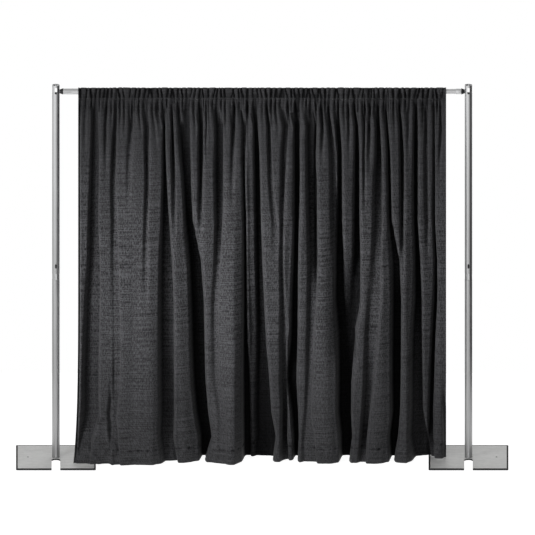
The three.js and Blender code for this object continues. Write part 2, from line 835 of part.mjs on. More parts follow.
function drape() {
  const seamHeightOnBar = barAxisHeight - pocketDepth;
  const hemHeight = plateTop + hemClearance;
  const lines = levelShares.map((level) => ({
    height: seamHeightOnBar + (hemHeight - seamHeightOnBar) * level.drop,
    middle: levelLine(level),
    front: offsetLine(levelLine(level), -clothThickness / 2),
    back: offsetLine(levelLine(level), clothThickness / 2),
  }));
  const top = barRadius + seatGap;
  const side = pocketHalfWidth;
  const shoulder = top - pocketShoulder - clothThickness;
  const belly = -barRadius / 2;
  const throat = -pocketDepth + 2 * clothThickness;
  const pocketInner = (seamY) => [
    [-pocketShoulder, top], [pocketShoulder, top], [side, shoulder], [side, belly],
    [seamY + clothThickness, throat], [seamY - clothThickness, throat], [-side, belly], [-side, shoulder],
  ];
  const skin = clothThickness;
  const pocketOuter = [
    [-side - skin, belly], [-side - skin, shoulder], [-pocketShoulder - skin / 2, top + skin],
    [pocketShoulder + skin / 2, top + skin], [side + skin, shoulder], [side + skin, belly],
  ];
  const columnCount = lines[0].middle.length;
  const points = [];
  const loops = [];
  for (let column = 0; column < columnCount; column += 1) {
    const outer = [];
    const inner = [];
    for (const line of [...lines].reverse()) {
      const [x, y] = line.front[column];
      outer.push(points.push([x, y, line.height]) - 1);
    }
    const [headX, seamY] = lines[0].middle[column];
    for (const [y, z] of pocketOuter) {
      outer.push(points.push([headX, y, barAxisHeight + z]) - 1);
    }
    for (const line of lines) {
      const [x, y] = line.back[column];
      outer.push(points.push([x, y, line.height]) - 1);
    }
    for (const [y, z] of pocketInner(seamY)) {
      inner.push(points.push([headX, y, barAxisHeight + z]) - 1);
    }
    loops.push({ outer, inner });
  }
  const faces = [];
  // Both faces of the cloth are split along the same diagonal, so that they keep their distance
  const quad = (a, b, c, d, falling) => {
    faces.push(falling ? [a, b, d] : [a, b, c], falling ? [b, c, d] : [a, c, d]);
  };
  const isBelow = (point, other) => points[point][2] < points[other][2];
  for (let column = 0; column + 1 < columnCount; column += 1) {
    const here = loops[column];
    const next = loops[column + 1];
    here.outer.forEach((point, index) => {
      const other = (index + 1) % here.outer.length;
      const falling = isBelow(here.outer[other], point);
      quad(point, next.outer[index], next.outer[other], here.outer[other], falling);
    });
    here.inner.forEach((point, index) => {
      const other = (index + 1) % here.inner.length;
      const falling = isBelow(here.inner[other], point);
      quad(point, here.inner[other], next.inner[other], next.inner[index], falling);
    });
  }
  for (const [column, flip] of [[0, false], [columnCount - 1, true]]) {
    for (const [a, b, c] of endFaces(points, loops[column])) {
      faces.push(flip ? [c, b, a] : [a, b, c]);
    }
  }
  const geometry = new THREE.BufferGeometry();
  geometry.setAttribute('position', new THREE.BufferAttribute(new Float32Array(points.flat()), 3));
  geometry.setIndex(faces.flat());
  geometry.computeVertexNormals();
  return geometry;
}

// Triangles of the drape's side edge: the loop of its outside, with the pocket's hollow left open
function endFaces(points, { outer, inner }) {
  const flat = (index) => new THREE.Vector2(points[index][1], points[index][2]);
  const contour = outer.map(flat);
  const hole = inner.map(flat);
  const all = [...outer, ...inner];
  return THREE.ShapeUtils.triangulateShape(contour, [hole])
    .map(([a, b, c]) => facingLeft(points, all[a], all[b], all[c]));
}

function facingLeft(points, a, b, c) {
  const [, ay, az] = points[a];
  const [, by, bz] = points[b];
  const [, cy, cz] = points[c];
  const turn = (by - ay) * (cz - az) - (bz - az) * (cy - ay);
  return turn < 0 ? [a, b, c] : [a, c, b];
}

// Assembly

function stand(side) {
  const group = new THREE.Group();
  group.add(piece(`${side}_base_plate`, basePlate(), 'plate'));
  group.add(piece(`${side}_base_pin`, basePin(), 'steel'));
  group.add(piece(`${side}_pin_bolt`, pinBolt(), 'steel'));
  group.add(piece(`${side}_pin_washer`, pinWasher(), 'steel'));
  group.add(piece(`${side}_pin_nut`, pinNut(), 'steel'));
  group.add(piece(`${side}_lower_tube`, lowerTube(), 'tube'));
  group.add(piece(`${side}_coupler`, coupler(), 'steel'));
  rivetHeights().forEach((height, index) => {
    group.add(piece(`${side}_coupler_rivet_${index + 1}`, couplerRivet(height), 'steel'));
  });
  group.add(piece(`${side}_snap_button`, snapButton(), 'darkSteel'));
  group.add(piece(`${side}_button_spring`, buttonSpring(), 'steel'));
  group.add(piece(`${side}_upper_tube`, upperTube(), 'tube'));
  group.position.x = side === 'left' ? -standSpacing / 2 : standSpacing / 2;
  return group;
}

function hook(side) {
  const group = new THREE.Group();
  const isLeft = side === 'left';
  const shape = (geometry) => (isLeft ? mirrored(geometry) : geometry);
  const tubeBore = isLeft ? barBore : innerBore;
  const tubeRadius = isLeft ? barRadius : innerRadius;
  group.add(piece(`${side}_hook_blade`, shape(hookBlade()), 'steel'));
  group.add(piece(`${side}_hook_plug`, shape(hookPlug(tubeBore)), 'plug'));
  group.add(piece(`${side}_hook_rivet`, shape(hookRivet(tubeRadius)), 'steel'));
  group.position.x = isLeft ? -barEnd : barEnd;
  return group;
}

function crossbar() {
  const group = new THREE.Group();
  group.add(piece('crossbar_outer_tube', outerBar(), 'tube'));
  group.add(piece('crossbar_guide_bush', guideBush(), 'nylon'));
  group.add(piece('crossbar_inner_tube', innerBar(), 'tube'));
  group.add(piece('crossbar_tail_glide', tailGlide(), 'nylon'));
  group.add(piece('crossbar_end_ferrule', ferrule(), 'steel'));
  group.add(hook('left'));
  group.add(hook('right'));
  group.position.z = barAxisHeight;
  return group;
}

const backdrop = new THREE.Group();
backdrop.add(stand('left'));
backdrop.add(stand('right'));
backdrop.add(crossbar());
backdrop.add(piece('drape', drape(), 'cloth'));

export default backdrop;
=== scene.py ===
# Pipe and drape backdrop: the finish of every piece, dressed over the loaded frame.
# Metres, +Z up, +X to the right, the drape's face towards -Y.

import json
import math

import bmesh
import bpy
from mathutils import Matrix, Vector, noise


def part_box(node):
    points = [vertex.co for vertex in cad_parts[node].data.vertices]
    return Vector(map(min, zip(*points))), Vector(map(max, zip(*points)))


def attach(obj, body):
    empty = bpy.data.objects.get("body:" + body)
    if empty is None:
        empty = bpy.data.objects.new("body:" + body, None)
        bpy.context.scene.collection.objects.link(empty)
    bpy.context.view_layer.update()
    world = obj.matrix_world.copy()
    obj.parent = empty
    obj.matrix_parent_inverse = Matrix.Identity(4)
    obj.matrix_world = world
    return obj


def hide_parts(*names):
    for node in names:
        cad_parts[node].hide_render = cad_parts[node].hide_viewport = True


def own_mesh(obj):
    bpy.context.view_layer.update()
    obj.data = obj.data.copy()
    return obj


bl_info = {
    "name": "Pipe and Drape Backdrop",
    "version": (1, 0, 0),
    "blender": (4, 5, 0),
    "location": "3D View > Sidebar > Backdrop",
    "description": "Dresses the uprights, base plates, crossbar and drape of a pipe and drape backdrop",
    "category": "Object",
}

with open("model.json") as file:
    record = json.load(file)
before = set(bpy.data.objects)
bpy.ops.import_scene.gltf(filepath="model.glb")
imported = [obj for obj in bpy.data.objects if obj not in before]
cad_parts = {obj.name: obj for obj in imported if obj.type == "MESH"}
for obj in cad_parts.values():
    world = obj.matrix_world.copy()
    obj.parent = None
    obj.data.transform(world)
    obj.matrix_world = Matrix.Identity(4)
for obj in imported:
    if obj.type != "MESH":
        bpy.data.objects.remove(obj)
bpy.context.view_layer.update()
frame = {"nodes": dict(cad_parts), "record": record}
BODY_OF = {
    node: body
    for body, members in frame["record"]["behaviour"]["bodies"].items()
    for node in members
}
SIDES = (("left", -1), ("right", 1))
MM = 0.001


def middle(node):
    low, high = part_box(node)
    return (low + high) / 2


def span(node):
    low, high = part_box(node)
    return high - low


# Sizes and places that the frame gives
STAND_X = {side: middle(f"{side}_lower_tube").x for side, _ in SIDES}
TUBE_RADIUS = span("left_lower_tube").x / 2
BAR_HEIGHT = middle("crossbar_outer_tube").z
BAR_RADIUS = span("crossbar_outer_tube").z / 2
INNER_RADIUS = span("crossbar_inner_tube").z / 2
DRAPE_LOW, DRAPE_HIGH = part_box("drape")


# Settings

class BackdropTubeSettings(bpy.types.PropertyGroup):
    wall: bpy.props.FloatProperty(
        name="Upright Wall", description="Wall of the upright tubes",
        default=2 * MM, min=1 * MM, unit="LENGTH")
    bar_wall: bpy.props.FloatProperty(
        name="Bar Wall", description="Wall of the crossbar's two tubes",
        default=1.65 * MM, min=1 * MM, unit="LENGTH")
    rim: bpy.props.FloatProperty(
        name="Rim Rounding", description="Rounding of cut tube ends and slots",
        default=0.35 * MM, min=0.1 * MM, unit="LENGTH")
    facets: bpy.props.IntProperty(
        name="Facets", description="Facets round a tube", default=96, min=24, max=256)
    aluminium: bpy.props.FloatVectorProperty(
        name="Aluminium", description="Colour of the drawn tubes",
        default=(0.78, 0.785, 0.79), subtype="COLOR", min=0, max=1)
    steel: bpy.props.FloatVectorProperty(
        name="Zinc Steel", description="Colour of the hooks and rivets",
        default=(0.6, 0.61, 0.62), subtype="COLOR", min=0, max=1)
    black: bpy.props.FloatVectorProperty(
        name="Black Plastic", description="Colour of the crossbar's end plugs",
        default=(0.014, 0.014, 0.015), subtype="COLOR", min=0, max=1)


class BackdropPlateSettings(bpy.types.PropertyGroup):
    corner: bpy.props.FloatProperty(
        name="Corner Radius", description="Radius of the plate's four corners",
        default=9 * MM, min=1 * MM, unit="LENGTH")
    edge: bpy.props.FloatProperty(
        name="Edge Rounding", description="Rounding of the plate's cut edges",
        default=1.1 * MM, min=0.1 * MM, unit="LENGTH")
    # The bare rim is dark steel, with painted shade along the plate's edges
    rim: bpy.props.FloatProperty(
        name="Bare Rim", description="Width of the dark cut edge that shows round the top",
        default=11 * MM, min=0.5 * MM, unit="LENGTH")
    slot_width: bpy.props.FloatProperty(
        name="Slot Width", description="Width of the slot that passes round an upright",
        default=54 * MM, min=10 * MM, unit="LENGTH")
    slot_gap: bpy.props.FloatProperty(
        name="Slot Gap", description="From the upright to the round end of the slot",
        default=11 * MM, min=1 * MM, unit="LENGTH")
    stake_hole: bpy.props.FloatProperty(
        name="Stake Hole", description="Diameter of the two stake holes",
        default=12 * MM, min=2 * MM, unit="LENGTH")
    stake_inset: bpy.props.FloatProperty(
        name="Stake Inset", description="From the plate's side to the stake hole",
        default=75 * MM, min=10 * MM, unit="LENGTH")
    paint: bpy.props.FloatVectorProperty(
        name="Plate Paint", description="Silver grey of the plate's top",
        default=(0.76, 0.76, 0.75), subtype="COLOR", min=0, max=1)
    # The cut edge's colour is bare steel, darkened further to paint the shade on the plate's sides and
    # rim
    bare_and_shaded_edge: bpy.props.FloatVectorProperty(
        name="Cut Edge", description="Dark steel of the plate's cut edges",
        default=(0.012, 0.012, 0.013), subtype="COLOR", min=0, max=1)


class BackdropDrapeSettings(bpy.types.PropertyGroup):
    cloth: bpy.props.FloatVectorProperty(
        name="Cloth", description="Colour of the black cloth",
        default=(0.045, 0.045, 0.048), subtype="COLOR", min=0, max=1)
    thickness: bpy.props.FloatProperty(
        name="Cloth Thickness", description="Thickness of the cloth",
        default=1.2 * MM, min=0.3 * MM, unit="LENGTH")
    pocket: bpy.props.FloatProperty(
        name="Pocket Radius", description="Radius of the rod pocket round the bar",
        default=22.9 * MM, min=20 * MM, unit="LENGTH")
    head_fold: bpy.props.FloatProperty(
        name="Head Folds", description="How far the folds reach forward just below the pocket",
        default=17 * MM, min=2 * MM, unit="LENGTH")
    ridge_reach: bpy.props.FloatProperty(
        name="Ridge Reach", description="How far the folds reach forward at the hem",
        default=178 * MM, min=20 * MM, unit="LENGTH")
    valley_reach: bpy.props.FloatProperty(
        name="Valley Reach", description="How far the folds reach back at the hem",
        default=46 * MM, min=5 * MM, unit="LENGTH")
    hem: bpy.props.FloatProperty(
        name="Hem Height", description="Height of the stitched bottom hem",
        default=92 * MM, min=10 * MM, unit="LENGTH")
    columns: bpy.props.IntProperty(
        name="Columns", description="Faces across the cloth", default=640, min=100, max=800)


class BackdropStageSettings(bpy.types.PropertyGroup):
    key_level: bpy.props.FloatProperty(
        name="Key Level", description="Light of the key lamp on a surface that faces it",
        default=0.102, min=0)
    ambient: bpy.props.FloatProperty(
        name="Ambient Level", description="Light that comes from all sides", default=0.03, min=0)
    overhead: bpy.props.FloatProperty(
        name="Overhead Level", description="Light that comes from straight above", default=1.2, min=0)
    view_width: bpy.props.FloatProperty(
        name="View Width", description="Width of the view", default=3.351, min=1, unit="LENGTH")
    elevation: bpy.props.FloatProperty(
        name="Camera Elevation", description="How far the camera looks down",
        default=math.radians(17.3), subtype="ANGLE")


# Modelling helpers, each a run of the usual operators

# Points closer than this are merged, so an outline that ends at this radius closes on its axis
MERGE = 0.01 * MM
# A line or a normal runs along an axis from this cosine on
ALIGNED = 0.99
CORNER_SEGMENTS = 6
AXIS_TURNS = {"Z": (0, 0, 0), "X": (0, math.pi / 2, 0), "Y": (math.pi / 2, 0, 0)}


def clear_selection():
    if bpy.context.object and bpy.context.object.mode != "OBJECT":
        bpy.ops.object.mode_set(mode="OBJECT")
    bpy.ops.object.select_all(action="DESELECT")


def make_active(piece):
    clear_selection()
    piece.select_set(True)
    bpy.context.view_layer.objects.active = piece


def edit_unselected(piece):
    """Opens a piece in edit mode with nothing selected, to pick faces and edges from."""
    make_active(piece)
    bpy.ops.object.mode_set(mode="EDIT")
    mesh = bmesh.from_edit_mesh(piece.data)
    for element in (*mesh.verts, *mesh.edges, *mesh.faces):
        element.select = False
    return mesh


def take_primitive(name):
    piece = bpy.context.object
    piece.name = name
    piece.data.name = name
    bpy.ops.object.transform_apply(location=True, rotation=True, scale=True)
    return piece


def apply_modifier(piece, kind, **values):
    make_active(piece)
    modifier = piece.modifiers.new(kind.title(), kind)
    for key, value in values.items():
        setattr(modifier, key, value)
    bpy.ops.object.modifier_apply(modifier=modifier.name)


def round_edges(piece, width, segments=2, angle=35):
    apply_modifier(piece, "BEVEL", width=width, segments=segments, limit_method="ANGLE",
                   angle_limit=math.radians(angle), use_clamp_overlap=True)


def smooth(piece, angle=38):
    make_active(piece)
    bpy.ops.object.shade_smooth_by_angle(angle=math.radians(angle))


def tidy_mesh():
    bpy.ops.mesh.select_all(action="SELECT")
    bpy.ops.mesh.remove_doubles(threshold=MERGE)
    bpy.ops.mesh.normals_make_consistent(inside=False)


def turned(name, outline, facets, centre, along="Z"):
    """A turned piece, from (radius, height) pairs. Heights along X go right, along Y forward."""
    clear_selection()
    radius, height = outline[0]
    bpy.ops.mesh.primitive_circle_add(vertices=facets, radius=radius, fill_type="NOTHING",
                                      location=(0, 0, height))
    piece = take_primitive(name)
    bpy.ops.object.mode_set(mode="EDIT")
    bpy.ops.mesh.select_all(action="SELECT")
    for next_radius, next_height in outline[1:]:
        bpy.ops.mesh.extrude_region_move(
            TRANSFORM_OT_translate={"value": (0, 0, next_height - height)})
        ratio = next_radius / radius
        bpy.ops.transform.resize(value=(ratio, ratio, 1), center_override=(0, 0, next_height))
        radius, height = next_radius, next_height
    tidy_mesh()
    bpy.ops.object.mode_set(mode="OBJECT")
    piece.rotation_euler = AXIS_TURNS[along]
    piece.location = centre
    bpy.ops.object.transform_apply(location=True, rotation=True, scale=True)
    return piece


def pipe(name, radius, bore, low, high, facets, centre, along="Z"):
    """A plain tube from low to high along its axis."""
    outline = [(radius, low), (radius, high), (bore, high), (bore, low), (radius, low)]
    return turned(name, outline, facets, centre, along)


def dome(shape, radius, top, down):
    """The outline of a rivet's domed head, from its top down."""
    return [(max(MERGE, share * radius), top + down * depth) for share, depth in shape]


def pillar(name, radius, length, centre, along="Y", facets=48):
    clear_selection()
    bpy.ops.mesh.primitive_cylinder_add(vertices=facets, radius=radius, depth=length,
                                        location=centre, rotation=AXIS_TURNS[along])
    return take_primitive(name)


def oblong(name, width, height, front, back, centre):
    """A round-ended upright oblong, from front to back along Y."""
    radius = width / 2
    piece = pillar(name, radius, back - front, (centre.x, (front + back) / 2, centre.z))
    rise = height / 2 - radius
    for vertex in piece.data.vertices:
        vertex.co.z += math.copysign(rise, vertex.co.z - centre.z)
    return piece


def block(name, size, centre, corner=0, along="Y"):
    """A box whose four edges along one axis are rounded."""
    clear_selection()
    bpy.ops.mesh.primitive_cube_add(size=1, location=centre, scale=size)
    piece = take_primitive(name)
    if corner:
        axis = "XYZ".index(along)
        mesh = edit_unselected(piece)
        for edge in mesh.edges:
            line = edge.verts[0].co - edge.verts[1].co
            if abs(line[axis]) > ALIGNED * line.length:
                edge.select_set(True)
        bmesh.update_edit_mesh(piece.data)
        bpy.ops.mesh.bevel(offset=corner, segments=CORNER_SEGMENTS, affect="EDGES")
        bpy.ops.object.mode_set(mode="OBJECT")
    return piece


def combine(piece, tools, operation="DIFFERENCE"):
    for tool in tools:
        apply_modifier(piece, "BOOLEAN", operation=operation, solver="EXACT", object=tool)
        bpy.data.objects.remove(tool)
    return piece


def node_copy(node, name):
    """A clean copy of a node's mesh: doubles merged, flat faces whole again."""
    piece = bpy.data.objects.new(name, frame["nodes"][node].data.copy())
    piece.data.name = name
    piece.data.materials.clear()
    bpy.context.scene.collection.objects.link(piece)
    make_active(piece)
    bpy.ops.object.mode_set(mode="EDIT")
    tidy_mesh()
    bpy.ops.mesh.dissolve_limited(angle_limit=math.radians(1))
    bpy.ops.object.mode_set(mode="OBJECT")
    return piece


def hand_over(piece, node, materials):
    """The finished piece stands for its node and rides on the node's body."""
    piece.data.materials.clear()
    for material in materials:
        piece.data.materials.append(material)
    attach(piece, BODY_OF[node])
    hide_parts(node)
    return piece


def refinish(node, material):
    """A node whose shape stays gets its material."""
    data = frame["nodes"][node].data
    data.materials.clear()
    data.materials.append(material)


# Material helpers

# Nearly all of a noise lies between these values
NOISE_SPAN = (0.3, 0.7)


class Nodes:
    """Short calls that add nodes to a tree."""

    def __init__(self, tree):
        self.tree = tree

    def node(self, kind, **values):
        node = self.tree.nodes.new(kind)
        for key, value in values.items():
            setattr(node, key, value)
        return node

    def link(self, source, target):
        self.tree.links.new(source, target)

    def split(self, vector):
        """The parts X, Y and Z of a vector."""
        node = self.node("ShaderNodeSeparateXYZ")
        self.link(vector, node.inputs["Vector"])
        return node.outputs

    def spread(self, value, low, high, to_low, to_high, **values):
        """Maps low..high of a value to to_low..to_high."""
        node = self.node("ShaderNodeMapRange", **values)
        for label, number in (("From Min", low), ("From Max", high),
                              ("To Min", to_low), ("To Max", to_high)):
            node.inputs[label].default_value = number
        self.link(value, node.inputs["Value"])
        return node.outputs["Result"]

    def maths(self, operation, first, second=0):
        """One operation on two values, each one fixed or from a socket."""
        node = self.node("ShaderNodeMath", operation=operation)
        for slot, value in enumerate((first, second)):
            if isinstance(value, (int, float)):
                node.inputs[slot].default_value = value
            else:
                self.link(value, node.inputs[slot])
        return node.outputs["Value"]

    def total(self, *shares):
        """The sum of values that are each given with their share."""
        parts = [self.maths("MULTIPLY", value, share) for value, share in shares]
        result = parts[0]
        for part in parts[1:]:
            result = self.maths("ADD", result, part)
        return result


class Finish(Nodes):
    """A new material with its shader."""

    def __init__(self, name, **sockets):
        self.material = bpy.data.materials.new(name)
        self.material.use_nodes = True
        super().__init__(self.material.node_tree)
        self.shader = self.tree.nodes["Principled BSDF"]
        for label, value in sockets.items():
            self.shader.inputs[label.replace("_", " ")].default_value = value

    def grain(self, coordinates, scale, detail, roughness=0.5):
        """Noise with so many cells in a metre along each axis."""
        mapping = self.node("ShaderNodeMapping")
        mapping.inputs["Scale"].default_value = scale
        self.link(coordinates, mapping.inputs["Vector"])
        grain = self.node("ShaderNodeTexNoise")
        grain.inputs["Scale"].default_value = 1
        grain.inputs["Detail"].default_value = detail
        grain.inputs["Roughness"].default_value = roughness
        self.link(mapping.outputs["Vector"], grain.inputs["Vector"])
        return grain.outputs["Fac"]

    def blend(self, factor, first, second):
        """A colour between two, each one fixed or from a socket."""
        node = self.node("ShaderNodeMix", data_type="RGBA")
        for label, value in (("A", first), ("B", second)):
            if isinstance(value, bpy.types.NodeSocket):
                self.link(value, node.inputs[label])
            else:
                node.inputs[label].default_value = (*value, 1)
        self.link(factor, node.inputs["Factor"])
        return node.outputs["Result"]

    def colour(self, source):
        self.link(source, self.shader.inputs["Base Color"])

    def rough(self, source, low, high):
        """Roughness between low and high, by a noise."""
        spread = self.spread(source, *NOISE_SPAN, low, high)
        self.link(spread, self.shader.inputs["Roughness"])

    def bump(self, height, distance, strength):
        node = self.node("ShaderNodeBump")
        node.inputs["Distance"].default_value = distance
        node.inputs["Strength"].default_value = strength
        self.link(height, node.inputs["Height"])
        self.link(node.outputs["Normal"], self.shader.inputs["Normal"])

    def place(self):
        return self.node("ShaderNodeTexCoord").outputs["Object"]


def times(colour, share):
    return tuple(min(1, part * share) for part in colour)


def cells(along, pair):
    """Cells in a metre on X, Y and Z, from those along an axis and those across it."""
    return [pair[0] if axis == along else pair[1] for axis in "XYZ"]


# Cells in a metre of a drawn tube's lines and clouds, along the tube and across it
DRAWN_LINES = (4, 900)
DRAWN_CLOUDS = (5, 22)
# How high an upright is scuffed and how much at its foot, wear that also paints shade; and the heights
# between which the painted shade towards its foot fades out
SCUFF_AND_SHADE_TOP, SCUFF_AND_SHADE_DEPTH = 1.3, 0.42
PAINTED_SHADE_HEIGHTS, PAINTED_SHADE_SHARE = (0.6, 2.15), 0.62


def drawn_aluminium(name, colour, along, upright=False):
    """Drawn tube with long fine lines. An upright is scuffed, and painted shade makes it darker towards
    its foot.
    """
    finish = Finish(name, Metallic=1.0)
    place = finish.place()
    lines = finish.grain(place, cells(along, DRAWN_LINES), detail=2)
    clouds = finish.grain(place, cells(along, DRAWN_CLOUDS), detail=4)
    mixed = finish.maths("MULTIPLY", lines, finish.spread(clouds, *NOISE_SPAN, 0.75, 1.1))
    if upright:
        height = finish.split(place)["Z"]
        # Scuffs, which also paint shade, fade out from the foot up to their top
        scuffs = finish.grain(place, (90, 90, 14), detail=5, roughness=0.7)
        foot = finish.spread(height, 0, SCUFF_AND_SHADE_TOP, SCUFF_AND_SHADE_DEPTH, 0)
        mixed = finish.maths("SUBTRACT", mixed, finish.maths("MULTIPLY", foot, scuffs))
    shade = finish.spread(mixed, 0.25, 0.65, 0, 1)
    drawn = finish.blend(shade, times(colour, 0.8), times(colour, 1.04))
    if upright:
        # Painted shade: the upright darker from the upper height down to its foot
        bright = finish.spread(height, *PAINTED_SHADE_HEIGHTS, PAINTED_SHADE_SHARE, 1)
        drawn = finish.blend(bright, (0, 0, 0), drawn)
    finish.colour(drawn)
    finish.rough(clouds, 0.32, 0.42)
    finish.bump(lines, 0.02 * MM, 0.4)
    return finish.material


# The edge of a plate's paint: how far it wanders, and how wide it fades
PAINT_WANDER = 1.5 * MM
PAINT_FADE = 2 * MM


def plate_paint(colour, bare, rim):
    """Silver paint on rolled plate: faint mottling, orange peel, streaks, and a dark rim of bare steel
    that also paints shade along the plate's edges.
    """
    finish = Finish("plate_silver_paint", Metallic=0.2)
    place = finish.place()
    mottle = finish.grain(place, (26, 26, 26), detail=5, roughness=0.6)
    fine = finish.grain(place, (420, 420, 420), detail=2)
    streaks = finish.grain(place, (6, 90, 6), detail=3)
    shade = finish.spread(finish.total((mottle, 0.6), (streaks, 0.4)), 0.35, 0.65, 0, 1)
    painted = finish.blend(shade, times(colour, 0.9), times(colour, 1.08))
    parts = finish.split(place)
    aside = finish.maths("SUBTRACT", finish.maths("ABSOLUTE", parts["X"]), STAND_X["right"])
    out = finish.maths("MAXIMUM", finish.maths("ABSOLUTE", aside), finish.maths("ABSOLUTE", parts["Y"]))
    out = finish.maths("ADD", out, finish.maths("MULTIPLY", fine, PAINT_WANDER))
    paint_end = span("left_base_plate").x / 2 - rim
    # Painted shade: a dark bare rim round the top, with less gloss
    bare_shaded_rim = finish.spread(out, paint_end, paint_end + PAINT_FADE, 0, 1)
    finish.colour(finish.blend(bare_shaded_rim, painted, bare))
    finish.link(finish.spread(bare_shaded_rim, 0, 1, 0.5, 0.05), finish.shader.inputs["Specular IOR Level"])
    finish.rough(mottle, 0.45, 0.6)
    finish.bump(fine, 0.05 * MM, 0.5)
    return finish.material


def shaded_cut_edge(colour):
    """Bare cut steel, darkened further as painted shade on the plate's sides, with torch lines down the
    edge.
    """
    finish = Finish("plate_shaded_cut_edge", Metallic=0.1)
    place = finish.place()
    lines = finish.grain(place, (700, 700, 60), detail=2)
    finish.colour(finish.blend(lines, times(colour, 0.6), times(colour, 1.5)))
    finish.rough(lines, 0.45, 0.6)
    finish.bump(lines, 0.08 * MM, 0.5)
    return finish.material


def zinc_steel(colour):
    """Zinc plating with fine spangle."""
    finish = Finish("zinc_plated_steel", Metallic=1.0)
    place = finish.place()
    spangle = finish.node("ShaderNodeTexVoronoi")
    spangle.inputs["Scale"].default_value = 260
    finish.link(place, spangle.inputs["Vector"])
    clouds = finish.grain(place, (60, 60, 60), detail=4)
    flakes = finish.spread(spangle.outputs["Distance"], 0, 1, 0.85, 1.15)
    shade = finish.spread(finish.maths("MULTIPLY", clouds, flakes), *NOISE_SPAN, 0, 1)
    finish.colour(finish.blend(shade, times(colour, 0.82), times(colour, 1.12)))
    finish.rough(clouds, 0.28, 0.42)
    finish.bump(clouds, 0.05 * MM, 0.4)
    return finish.material


def dark_steel():
    """Blackened steel, faintly clouded."""
    finish = Finish("blackened_steel", Metallic=0.85)
    clouds = finish.grain(finish.place(), (140, 140, 140), detail=4)
    finish.colour(finish.blend(clouds, (0.02, 0.02, 0.022), (0.07, 0.07, 0.074)))
    finish.rough(clouds, 0.35, 0.5)
    finish.bump(clouds, 0.04 * MM, 0.5)
    return finish.material


def moulded_plastic(name, colour, roughness):
    """Moulded plastic with the fine texture of its tool."""
    finish = Finish(name)
    place = finish.place()
    texture = finish.grain(place, (1500, 1500, 1500), detail=2)
    clouds = finish.grain(place, (80, 80, 80), detail=3)
    finish.colour(finish.blend(clouds, times(colour, 0.85), times(colour, 1.15)))
    finish.rough(clouds, roughness - 0.05, roughness + 0.07)
    finish.bump(texture, 0.04 * MM, 0.6)
    return finish.material


# Cells in a metre across and down the cloth: long slubs across, dashes down, flecks, and fine threads
SLUBS, DASHES, FLECKS = (5, 165, 1), (150, 45, 1), (190, 160, 1)
THREADS_ACROSS, THREADS_DOWN = (60, 1300, 1), (1300, 60, 1)
# The yarn shows most in the middle of the fall, as painted sheen where the light falls brightest: where
# it fades in and out, on the map's drop
YARN_SHEEN_FADES_IN, YARN_SHEEN_HEAD, YARN_SHEEN_MIDDLE = (-1.05, -0.45), 0.4, 1.15
YARN_SHEEN_FADES_OUT, YARN_SHEEN_FOOT = (-2.1, -1.4), 0.6
# The depth of a fold from which painted shade darkens its colour, and from which its sheen and gloss
# start to go
FOLD_PAINTED_SHADE, FOLD_DULLS = (0.35, 1), (0.25, 0.95)


def black_cloth(colour):
    """Woven black cloth on its own map, in metres: threads, slubs across and dashes down, and painted
    shade in its folds.
    """
    finish = Finish("black_woven_cloth", Sheen_Roughness=0.4)
    cloth = finish.node("ShaderNodeUVMap", uv_map="cloth").outputs["UV"]
    slubs = finish.grain(cloth, SLUBS, detail=2)
    dashes = finish.grain(cloth, DASHES, detail=2)
    flecks = finish.grain(cloth, FLECKS, detail=1)
    across = finish.grain(cloth, THREADS_ACROSS, detail=1)
    down = finish.grain(cloth, THREADS_DOWN, detail=1)
    yarn = finish.total((slubs, 0.36), (dashes, 0.4), (flecks, 0.24))
    weave = finish.total((across, 0.5), (down, 0.5))
    tone = finish.total((yarn, 0.85), (weave, 0.15))
    drop = finish.split(cloth)["Y"]
    # Painted sheen: the yarn's contrast is strongest in the middle of the fall
    yarn_and_sheen = finish.maths("MULTIPLY", finish.spread(drop, *YARN_SHEEN_FADES_IN, YARN_SHEEN_MIDDLE, YARN_SHEEN_HEAD),
                          finish.spread(drop, *YARN_SHEEN_FADES_OUT, YARN_SHEEN_FOOT, 1))
    tone = finish.maths("MULTIPLY", finish.maths("SUBTRACT", tone, 0.5), yarn_and_sheen)
    shade = finish.spread(tone, -0.065, 0.065, 0, 1)
    lit = finish.blend(shade, times(colour, 0.2), times(colour, 1.85))
    fold = finish.node("ShaderNodeAttribute", attribute_name="painted_fold_shade").outputs["Fac"]
    # Painted shade: the cloth goes towards black with the depth of its folds
    finish.colour(finish.blend(finish.spread(fold, *FOLD_PAINTED_SHADE, 0, 0.82), lit, (0, 0, 0)))
    # Sheen and gloss fade in the folds with the painted shade
    for label, outside, inside in (("Specular IOR Level", 0.35, 0.05), ("Sheen Weight", 0.12, 0)):
        finish.link(finish.spread(fold, *FOLD_DULLS, outside, inside), finish.shader.inputs[label])
    finish.rough(weave, 0.62, 0.8)
    finish.bump(finish.maths("ADD", tone, finish.maths("MULTIPLY", weave, 0.3)), 0.8 * MM, 0.7)
    return finish.material


# Stage: floor, studio light and camera

FLOOR_GREY = (0.4, 0.4, 0.4, 1)
FLOOR_GLOW = 0.93
WHITE = (1, 1, 1, 1)


def mirrored(nodes, rays):
    """1 for a ray that comes by a reflection or through glass, otherwise 0."""
    return nodes.maths("MAXIMUM", rays["Is Glossy Ray"], rays["Is Transmission Ray"])


